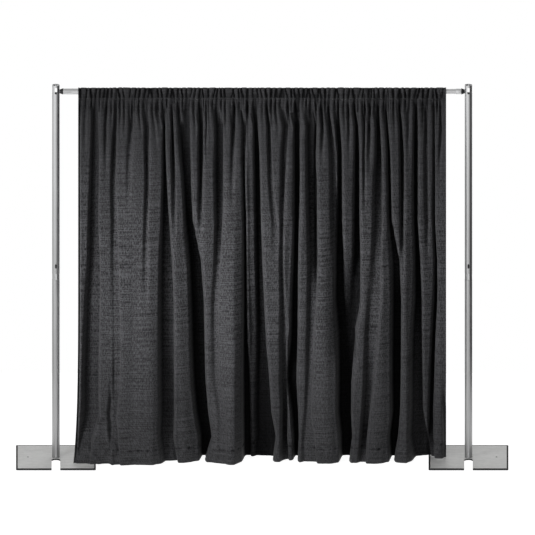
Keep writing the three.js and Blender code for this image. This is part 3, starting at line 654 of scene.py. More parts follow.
def pale_floor():
    """A floor that is white in view and in reflections, and still shows the shadow."""
    material = bpy.data.materials.new("studio_floor")
    material.use_nodes = True
    material.node_tree.nodes.clear()
    nodes = Nodes(material.node_tree)
    grey = nodes.node("ShaderNodeBsdfDiffuse")
    grey.inputs["Color"].default_value = FLOOR_GREY
    glow = nodes.node("ShaderNodeEmission")
    glow.inputs["Color"].default_value = WHITE
    glow.inputs["Strength"].default_value = FLOOR_GLOW
    lit = nodes.node("ShaderNodeAddShader")
    nodes.link(grey.outputs["BSDF"], lit.inputs[0])
    nodes.link(glow.outputs["Emission"], lit.inputs[1])
    rays = nodes.node("ShaderNodeLightPath").outputs
    seen = nodes.node("ShaderNodeMixShader")
    nodes.link(nodes.maths("MAXIMUM", rays["Is Camera Ray"], mirrored(nodes, rays)), seen.inputs["Fac"])
    nodes.link(grey.outputs["BSDF"], seen.inputs[1])
    nodes.link(lit.outputs["Shader"], seen.inputs[2])
    nodes.link(seen.outputs["Shader"], nodes.node("ShaderNodeOutputMaterial").inputs["Surface"])
    return material


KEY_TURN = math.radians(-40)
# Two soft boxes side by side: where each is aimed, and its share of the key level
KEYS = (
    ("key_lamp_left", Vector((-0.8, 0, 1.24)), 0.75),
    ("key_lamp_right", Vector((0.7, 0, 1.38)), 0.46),
)
KEY_DISTANCE = 4.6
KEY_RISE = math.radians(2)
KEY_SIZE = 1.1
KEY_SPREAD = math.radians(42)

# What reflections see: a plain level, and by how much each side of the room differs from it
PLAIN_LEVEL = 0.4
ROOM_SIDES = (
    (math.radians(-38), 0.55),
    (math.radians(84), -0.38),
    (math.radians(180), 0.55),
)
# A side fades in between these cosines off its direction, and the light from above from this height
SIDE_FADE = (0.35, 0.95)
ABOVE_FROM = 0.6


def white_surround(ambient, overhead):
    """White in view. Reflections see a room with bright sides and a dark one."""
    world = bpy.data.worlds.new("studio")
    bpy.context.scene.world = world
    world.use_nodes = True
    world.node_tree.nodes.clear()
    nodes = Nodes(world.node_tree)
    rays = nodes.node("ShaderNodeLightPath").outputs
    direction = nodes.node("ShaderNodeTexCoord").outputs["Generated"]
    level = PLAIN_LEVEL
    for turn, change in ROOM_SIDES:
        towards = nodes.node("ShaderNodeVectorMath", operation="DOT_PRODUCT")
        towards.inputs[1].default_value = (math.sin(turn), -math.cos(turn), 0)
        nodes.link(direction, towards.inputs[0])
        side = nodes.spread(towards.outputs["Value"], *SIDE_FADE, 0, change,
                            interpolation_type="SMOOTHSTEP")
        level = nodes.maths("ADD", side, level)
    bounced = mirrored(nodes, rays)
    reflected = nodes.maths("MULTIPLY", bounced, level)
    above = nodes.spread(nodes.split(direction)["Z"], ABOVE_FROM, 1, ambient, overhead,
                         interpolation_type="SMOOTHSTEP")
    plain = nodes.maths("MULTIPLY", nodes.maths("SUBTRACT", 1, bounced), above)
    strength = nodes.maths("MAXIMUM", rays["Is Camera Ray"], nodes.maths("MAXIMUM", reflected, plain))
    sky = nodes.node("ShaderNodeBackground")
    sky.inputs["Color"].default_value = WHITE
    nodes.link(strength, sky.inputs["Strength"])
    nodes.link(sky.outputs["Background"], nodes.node("ShaderNodeOutputWorld").inputs["Surface"])


FLOOR_SIZE = (5.2, 3.6)
FLOOR_DROP = 0.2 * MM
CAMERA_DISTANCE = 9.0
CAMERA_REACH = 60
VIEW_CENTRE = Vector((33.2 * MM, 0, 1252.9 * MM))


class BACKDROP_OT_stage(bpy.types.Operator):
    """Lay the pale floor, set the studio light and place the camera"""
    bl_idname = "backdrop.stage"
    bl_label = "Stage"

    def execute(self, context):
        settings = context.scene.backdrop_stage
        clear_selection()
        bpy.ops.mesh.primitive_grid_add(x_subdivisions=8, y_subdivisions=6, size=1,
                                        location=(0, 0, -FLOOR_DROP))
        bpy.context.object.scale = (*FLOOR_SIZE, 1)
        floor = take_primitive("studio_floor")
        floor.data.materials.append(pale_floor())
        white_surround(settings.ambient, settings.overhead)
        for name, aim, share in KEYS:
            self.add_key(name, aim, share * settings.key_level)
        self.add_camera(context, settings)
        context.scene.view_settings.view_transform = "Standard"
        return {"FINISHED"}

    def add_key(self, name, aim, level):
        """A soft box whose power gives its level on what faces it."""
        clear_selection()
        flat = math.cos(KEY_RISE)
        towards = Vector((flat * math.sin(KEY_TURN), -flat * math.cos(KEY_TURN), math.sin(KEY_RISE)))
        turn = towards.to_track_quat("Z", "Y").to_euler()
        bpy.ops.object.light_add(type="AREA", location=aim + towards * KEY_DISTANCE, rotation=turn)
        key = bpy.context.object
        key.name = name
        key.data.shape = "DISK"
        key.data.size = KEY_SIZE
        key.data.spread = KEY_SPREAD
        key.visible_glossy = False
        key.data.energy = level * math.pi ** 2 * KEY_DISTANCE ** 2

    def add_camera(self, context, settings):
        clear_selection()
        rise = settings.elevation
        towards = Vector((0, -math.cos(rise), math.sin(rise)))
        bpy.ops.object.camera_add(location=VIEW_CENTRE + towards * CAMERA_DISTANCE,
                                  rotation=(math.pi / 2 - rise, 0, 0))
        camera = bpy.context.object
        camera.data.type = "ORTHO"
        camera.data.ortho_scale = settings.view_width
        camera.data.clip_end = CAMERA_REACH
        context.scene.camera = camera


# Base plates and what holds the pins

# The hole of the pin's bolt: its radius, its countersink's play and the heights where that narrows
BOLT_HOLE = 6.5 * MM
COUNTERSINK_PLAY = 0.5 * MM
COUNTERSINK_FOOT, COUNTERSINK_TOP = 1.4 * MM, 6.9 * MM
PAINTED_FROM = 0.05 * MM


class BACKDROP_OT_base_plates(bpy.types.Operator):
    """Model the two base plates with their slots, stake holes and dark cut edges, whose darkness is
    partly painted shade
    """
    bl_idname = "backdrop.base_plates"
    bl_label = "Base Plates"

    def execute(self, context):
        settings = context.scene.backdrop_plate
        paint = plate_paint(settings.paint, settings.bare_and_shaded_edge, settings.rim)
        edge = shaded_cut_edge(settings.bare_and_shaded_edge)
        for side, _ in SIDES:
            plate = self.model(side, settings)
            hand_over(plate, f"{side}_base_plate", [paint, edge])
            self.mark_edges(plate)
        return {"FINISHED"}

    def model(self, side, settings):
        node = f"{side}_base_plate"
        size = span(node)
        centre = middle(node)
        plate = block(f"{side}_plate", size, centre, corner=settings.corner, along="Z")
        radius = settings.slot_width / 2
        slot_end = -TUBE_RADIUS - settings.slot_gap - radius
        front = centre.y - size.y
        reach = slot_end - front
        tall = 4 * size.z
        cutters = [
            pillar("slot_end", radius, tall, (centre.x, slot_end, centre.z), "Z", facets=96),
            block("slot", (settings.slot_width, reach, tall),
                  (centre.x, slot_end - reach / 2, centre.z)),
        ]
        for turn in (-1, 1):
            place = (centre.x + turn * (size.x / 2 - settings.stake_inset), 0, centre.z)
            cutters.append(pillar("stake", settings.stake_hole / 2, tall, place, "Z"))
        bolt_low, bolt_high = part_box(f"{side}_pin_bolt")
        mouth = (bolt_high.x - bolt_low.x) / 2 + COUNTERSINK_PLAY
        cutters.append(pillar("shank", BOLT_HOLE, tall, (centre.x, 0, centre.z), "Z"))
        cutters.append(turned("countersink", [
            (MERGE, -size.z), (mouth, -size.z), (mouth, COUNTERSINK_FOOT),
            (BOLT_HOLE, COUNTERSINK_TOP), (MERGE, COUNTERSINK_TOP),
        ], 48, (centre.x, 0, 0)))
        combine(plate, cutters)
        round_edges(plate, settings.edge, segments=3)
        return plate

    def mark_edges(self, plate):
        """Paint on the top face, and bare steel with painted shade on all others."""
        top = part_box("left_base_plate")[1].z
        mesh = edit_unselected(plate)
        for face in mesh.faces:
            face.material_index = 1
            if face.normal.z > ALIGNED and face.calc_center_median().z > top - PAINTED_FROM:
                face.select_set(True)
        bmesh.update_edit_mesh(plate.data)
        plate.active_material_index = 0
        bpy.ops.object.material_slot_assign()
        bpy.ops.object.mode_set(mode="OBJECT")
        smooth(plate)


PIN_WALL = 3.5 * MM
PIN_NOSE, PIN_TAPER = 8 * MM, 3 * MM
PIN_FLOOR = 8 * MM


class BACKDROP_OT_base_pins(bpy.types.Operator):
    """Turn the base pins and finish the bolts, washers and nuts that hold them"""
    bl_idname = "backdrop.base_pins"
    bl_label = "Base Pins"

    def execute(self, context):
        settings = context.scene.backdrop_tube
        zinc = zinc_steel(settings.steel)
        dark = dark_steel()
        for side, _ in SIDES:
            hand_over(self.pin(side, settings), f"{side}_base_pin", [zinc])
            refinish(f"{side}_pin_bolt", dark)
            refinish(f"{side}_pin_washer", zinc)
            refinish(f"{side}_pin_nut", zinc)
        return {"FINISHED"}

    def pin(self, side, settings):
        low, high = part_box(f"{side}_base_pin")
        radius = (high.x - low.x) / 2
        bore = radius - PIN_WALL
        shoulder, floor = high.z - PIN_NOSE, low.z + PIN_FLOOR
        pin = turned(f"{side}_pin", [
            (BOLT_HOLE, low.z), (radius, low.z), (radius, shoulder), (radius - PIN_TAPER, high.z),
            (bore - PIN_TAPER, high.z), (bore, shoulder), (bore, floor), (BOLT_HOLE, floor),
            (BOLT_HOLE, low.z),
        ], settings.facets, (STAND_X[side], 0, 0))
        round_edges(pin, settings.rim)
        smooth(pin)
        return pin


# Uprights

# Under the angle of a rounded rim, so that the rim doesn't tilt the shading of a long wall
TUBE_SMOOTH = 20
HOOK_SLOT = Vector((14 * MM, 42 * MM))
HOOK_SLOT_DROP = 12.5 * MM
HOOK_SLOT_CORNER = 3 * MM
HOOK_SLOT_REACH = 1.3 * TUBE_RADIUS
# The rounded rim of a snap button, and the play of its hole
BUTTON_RIM = 2.6 * MM
BUTTON_PLAY = 0.5 * MM


def hook_slot_cutters(side, rim):
    """Four slots through a tube's wall, below its rim."""
    centre_x, reach = STAND_X[side], HOOK_SLOT_REACH
    height = rim - HOOK_SLOT_DROP - HOOK_SLOT.y / 2
    cutters = []
    for along, turns in (("Y", (0, 1)), ("X", (1, 0))):
        for sign in (-1, 1):
            x, y = (sign * turn * TUBE_RADIUS for turn in turns)
            size = (HOOK_SLOT.x, reach) if along == "Y" else (reach, HOOK_SLOT.x)
            cutters.append(block("hook_slot", (*size, HOOK_SLOT.y), (centre_x + x, y, height),
                                 corner=HOOK_SLOT_CORNER, along=along))
    return cutters


def button_cutter(side):
    """The hole that a snap button comes through."""
    size = span(f"{side}_snap_button")
    less = 2 * (BUTTON_RIM - BUTTON_PLAY)
    return oblong("button_hole", size.x - less, size.z - less, -2 * TUBE_RADIUS, 0,
                  middle(f"{side}_snap_button"))


class BACKDROP_OT_uprights(bpy.types.Operator):
    """Model the lower and upper tubes of both uprights with their hook slots"""
    bl_idname = "backdrop.uprights"
    bl_label = "Uprights"

    def execute(self, context):
        settings = context.scene.backdrop_tube
        metal = drawn_aluminium("upright_drawn_aluminium", settings.aluminium, "Z", upright=True)
        for side, _ in SIDES:
            for part in ("lower", "upper"):
                node = f"{side}_{part}_tube"
                low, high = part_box(node)
                tube = pipe(f"{side}_{part}_section", TUBE_RADIUS, TUBE_RADIUS - settings.wall,
                            low.z, high.z, settings.facets, (STAND_X[side], 0, 0))
                cutters = hook_slot_cutters(side, high.z)
                if part == "upper":
                    cutters.append(button_cutter(side))
                combine(tube, cutters)
                round_edges(tube, settings.rim)
                smooth(tube, TUBE_SMOOTH)
                hand_over(tube, node, [metal])
        return {"FINISHED"}


SLEEVE_PLAY = 0.4 * MM
SLEEVE_WALL = 2.5 * MM
SLEEVE_SHARE = 0.85
# The bead between the two tubes keeps this far off them and off their outside
BEAD_GAP = 0.3 * MM
# Domed heads: share of the radius, and depth below the top
SLEEVE_RIVET_DOME = ((0, 0), (0.5, 0.1 * MM), (0.85, 0.6 * MM), (1, 1.6 * MM))
SLEEVE_RIVET_SHANK = 2.5 * MM


class BACKDROP_OT_couplers(bpy.types.Operator):
    """Turn the coupler sleeves and their rivets"""
    bl_idname = "backdrop.couplers"
    bl_label = "Couplers"

    def execute(self, context):
        settings = context.scene.backdrop_tube
        metal = drawn_aluminium("coupler_aluminium", times(settings.aluminium, SLEEVE_SHARE), "Z")
        zinc = bpy.data.materials["zinc_plated_steel"]
        for side, _ in SIDES:
            sleeve = self.sleeve(side, settings)
            hand_over(sleeve, f"{side}_coupler", [metal])
            for number in (1, 2):
                rivet = self.rivet(side, number)
                hand_over(rivet, f"{side}_coupler_rivet_{number}", [zinc])
        return {"FINISHED"}

    def sleeve(self, side, settings):
        low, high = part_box(f"{side}_coupler")
        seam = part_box(f"{side}_lower_tube")[1].z
        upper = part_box(f"{side}_upper_tube")[0].z
        radius = TUBE_RADIUS - settings.wall - SLEEVE_PLAY
        bore = radius - SLEEVE_WALL
        bead = TUBE_RADIUS - BEAD_GAP
        bead_low, bead_high = seam + BEAD_GAP, upper - BEAD_GAP
        sleeve = turned(f"{side}_sleeve", [
            (radius, low.z), (radius, bead_low), (bead, bead_low), (bead, bead_high),
            (radius, bead_high), (radius, high.z), (bore, high.z), (bore, low.z), (radius, low.z),
        ], settings.facets, (STAND_X[side], 0, 0))
        combine(sleeve, [button_cutter(side)])
        round_edges(sleeve, width=0.3 * MM)
        smooth(sleeve)
        return sleeve

    def rivet(self, side, number):
        """A blind rivet whose domed head is at the back."""
        low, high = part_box(f"{side}_coupler_rivet_{number}")
        head = dome(SLEEVE_RIVET_DOME, (high.x - low.x) / 2, -high.y, 1)
        rivet = turned(f"{side}_sleeve_rivet_{number}", [
            *head, (SLEEVE_RIVET_SHANK, head[-1][1]), (SLEEVE_RIVET_SHANK, -low.y), (MERGE, -low.y),
        ], 32, (STAND_X[side], 0, (low.z + high.z) / 2), "Y")
        round_edges(rivet, width=0.15 * MM, angle=50)
        smooth(rivet, 60)
        return rivet


BUTTON_DOME = 1.9 * MM
BUTTON_FLANGE = 1.6 * MM


class BACKDROP_OT_snap_buttons(bpy.types.Operator):
    """Model the snap buttons and the leaf springs behind them"""
    bl_idname = "backdrop.snap_buttons"
    bl_label = "Snap Buttons"

    def execute(self, context):
        dark = bpy.data.materials["blackened_steel"]
        zinc = bpy.data.materials["zinc_plated_steel"]
        for side, _ in SIDES:
            hand_over(self.button(side), f"{side}_snap_button", [dark])
            spring = node_copy(f"{side}_button_spring", f"{side}_leaf_spring")
            round_edges(spring, width=0.15 * MM, angle=50)
            smooth(spring, 45)
            hand_over(spring, f"{side}_button_spring", [zinc])
            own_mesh(spring)
        return {"FINISHED"}

    def button(self, side):
        """A domed oblong button with the flange that keeps it in its hole."""
        node = f"{side}_snap_button"
        low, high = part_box(node)
        centre = middle(node)
        width, height = high.x - low.x, high.z - low.z
        button = oblong(f"{side}_button", width - 2 * BUTTON_RIM, height - 2 * BUTTON_RIM,
                        low.y, high.y, centre)
        round_edges(button, BUTTON_DOME, segments=5, angle=60)
        plate = oblong("flange", width, height, high.y - BUTTON_FLANGE, high.y, centre)
        combine(button, [plate], "UNION")
        smooth(button, 45)
        return button


# Crossbar

# The crimp near the outer tube's mouth: how far in it ends, its width and its depth
CRIMP_INSET, CRIMP_WIDTH, CRIMP_DEPTH = 22 * MM, 19 * MM, 1.1 * MM
# The oval dimples: from the tube's end, how far off its face they are centred, and their half sizes
DIMPLE_INSET, DIMPLE_LIFT = 47 * MM, 1 * MM
DIMPLE_HALF = (14 * MM, 2 * MM, 8 * MM)
FERRULE_PLAY, FERRULE_WALL = 0.3 * MM, 1.6 * MM
NYLON = (0.62, 0.62, 0.58)


class BACKDROP_OT_crossbar(bpy.types.Operator):
    """Turn the crossbar's outer and inner tubes and its ferrule, and finish its bush and glide"""
    bl_idname = "backdrop.crossbar"
    bl_label = "Crossbar"

    def execute(self, context):
        settings = context.scene.backdrop_tube
        metal = drawn_aluminium("crossbar_drawn_aluminium", settings.aluminium, "X")
        nylon = moulded_plastic("white_nylon", NYLON, roughness=0.5)
        hand_over(self.outer(settings), "crossbar_outer_tube", [metal])
        hand_over(self.inner(settings), "crossbar_inner_tube", [metal])
        hand_over(self.ferrule(settings), "crossbar_end_ferrule", [metal])
        refinish("crossbar_guide_bush", nylon)
        refinish("crossbar_tail_glide", nylon)
        return {"FINISHED"}

    def outer(self, settings):
        """The outer tube, crimped round its inner glide, with a dimple pressed into each face."""
        low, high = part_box("crossbar_outer_tube")
        lip = settings.bar_wall / 2
        crimp_right = high.x - CRIMP_INSET
        crimp_left, slope = crimp_right - CRIMP_WIDTH, CRIMP_WIDTH / 3
        crimp = [(0, crimp_left), (CRIMP_DEPTH, crimp_left + slope),
                 (CRIMP_DEPTH, crimp_right - slope), (0, crimp_right)]
        outside = [(BAR_RADIUS - depth, x) for depth, x in crimp]
        inside = [(BAR_RADIUS - settings.bar_wall - depth, x) for depth, x in reversed(crimp)]
        bore = inside[0][0]
        tube = turned("outer_bar", [
            (BAR_RADIUS, low.x), *outside, (BAR_RADIUS, high.x - lip), (BAR_RADIUS - lip, high.x),
            (bore, high.x), *inside, (bore, low.x), (BAR_RADIUS, low.x),
        ], settings.facets, (0, 0, BAR_HEIGHT), "X")
        round_edges(tube, settings.rim, angle=15)
        dimples = []
        for face in (-1, 1):
            clear_selection()
            bpy.ops.mesh.primitive_uv_sphere_add(
                segments=32, ring_count=20, radius=1, scale=DIMPLE_HALF,
                location=(low.x + DIMPLE_INSET, face * (BAR_RADIUS + DIMPLE_LIFT), BAR_HEIGHT))
            dimples.append(take_primitive("dimple"))
        combine(tube, dimples)
        smooth(tube, TUBE_SMOOTH)
        return tube

    def inner(self, settings):
        low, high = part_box("crossbar_inner_tube")
        tube = pipe("inner_bar", INNER_RADIUS, INNER_RADIUS - settings.bar_wall, low.x, high.x,
                    settings.facets, (0, 0, BAR_HEIGHT), "X")
        round_edges(tube, settings.rim)
        smooth(tube, TUBE_SMOOTH)
        return tube

    def ferrule(self, settings):
        """A ring on the inner tube's end that narrows towards the bar."""
        low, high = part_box("crossbar_end_ferrule")
        bore = INNER_RADIUS + FERRULE_PLAY
        outer = bore + FERRULE_WALL
        narrow = outer - FERRULE_WALL / 2
        ferrule = turned("bar_ferrule", [
            (narrow, low.x), (outer, low.x + FERRULE_WALL), (outer, high.x), (bore, high.x),
            (bore, low.x), (narrow, low.x),
        ], settings.facets, (0, 0, BAR_HEIGHT), "X")
        round_edges(ferrule, width=0.25 * MM)
        smooth(ferrule)
        return ferrule


# End plugs: the length inside the tube and outside it, the tapered nose and its edges
PLUG_SPIGOT, PLUG_LENGTH = 28 * MM, 20 * MM
PLUG_NOSE, PLUG_EDGE = 13.5 * MM, 1.2 * MM
PLUG_GAP, PLUG_PLAY = 0.3 * MM, 0.4 * MM
# The slot that the blade sits in goes right through a plug
BLADE_SLOT_LENGTH, BLADE_SLOT_HEIGHT, BLADE_PLAY = 0.2, 24.6 * MM, 0.6 * MM
HOOK_RIVET_DOME = ((0, 0), (0.55, 0.27 * MM), (0.9, 0.9 * MM), (1, 1.8 * MM))
HOOK_RIVET_SHANK = 3 * MM


class BACKDROP_OT_hooks(bpy.types.Operator):
    """Model the crossbar's end plugs, hook blades and their rivets"""
    bl_idname = "backdrop.hooks"
    bl_label = "Hooks"

    def execute(self, context):
        settings = context.scene.backdrop_tube
        black = moulded_plastic("black_moulded_plug", settings.black, roughness=0.45)
        zinc = bpy.data.materials["zinc_plated_steel"]
        for side, turn in SIDES:
            plug = self.plug(side, turn, settings)
            hand_over(plug, f"{side}_hook_plug", [black])
            blade = node_copy(f"{side}_hook_blade", f"{side}_hook")
            round_edges(blade, width=0.5 * MM, angle=50)
            smooth(blade, 35)
            hand_over(blade, f"{side}_hook_blade", [zinc])
            hand_over(self.rivet(side), f"{side}_hook_rivet", [zinc])
        return {"FINISHED"}

    def plug(self, side, turn, settings):
        """A plug with its spigot in the bar's end and its nose towards the upright."""
        low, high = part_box(f"{side}_hook_plug")
        bore = (BAR_RADIUS if side == "left" else INNER_RADIUS) - settings.bar_wall
        spigot = bore - PLUG_PLAY
        outline = [
            (MERGE, -PLUG_SPIGOT), (spigot - PLUG_EDGE, -PLUG_SPIGOT),
            (spigot, PLUG_EDGE - PLUG_SPIGOT), (spigot, PLUG_GAP), (BAR_RADIUS, PLUG_GAP),
            (BAR_RADIUS, 2 * PLUG_EDGE), (PLUG_NOSE, PLUG_LENGTH - PLUG_EDGE),
            (PLUG_NOSE - PLUG_EDGE, PLUG_LENGTH), (MERGE, PLUG_LENGTH),
        ]
        outline = [(radius, turn * height) for radius, height in outline]
        face = low.x + PLUG_LENGTH if side == "left" else high.x - PLUG_LENGTH
        plug = turned(f"{side}_plug", outline, settings.facets, (face, 0, BAR_HEIGHT), "X")
        round_edges(plug, width=0.5 * MM, segments=3, angle=20)
        slot_width = span(f"{side}_hook_blade").y + BLADE_PLAY
        slot = block("blade_slot", (BLADE_SLOT_LENGTH, slot_width, BLADE_SLOT_HEIGHT),
                     (face, 0, BAR_HEIGHT))
        combine(plug, [slot])
        smooth(plug)
        return plug

    def rivet(self, side):
        """A rivet through plug and blade, with a domed head at each end."""
        low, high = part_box(f"{side}_hook_rivet")
        radius = (high.x - low.x) / 2
        back = dome(HOOK_RIVET_DOME, radius, -high.y, 1)
        front = dome(HOOK_RIVET_DOME, radius, -low.y, -1)
        rivet = turned(f"{side}_hook_pin", [
            *back, (HOOK_RIVET_SHANK, back[-1][1]), (HOOK_RIVET_SHANK, front[-1][1]),
            *reversed(front),
        ], 32, ((low.x + high.x) / 2, 0, (low.z + high.z) / 2), "Y")
        round_edges(rivet, width=0.2 * MM, angle=50)
        smooth(rivet, 60)
        return rivet


# Drape. Its folds follow the photograph: places across and down are pixels of it, read off it

DRAPE_LEFT_PX = 78
DRAPE_RIGHT_PX = 446
DRAPE_WIDTH_PX = DRAPE_RIGHT_PX - DRAPE_LEFT_PX
SEAM_PX = 96
HEM_PX = 464
FALL_PX = HEM_PX - SEAM_PX

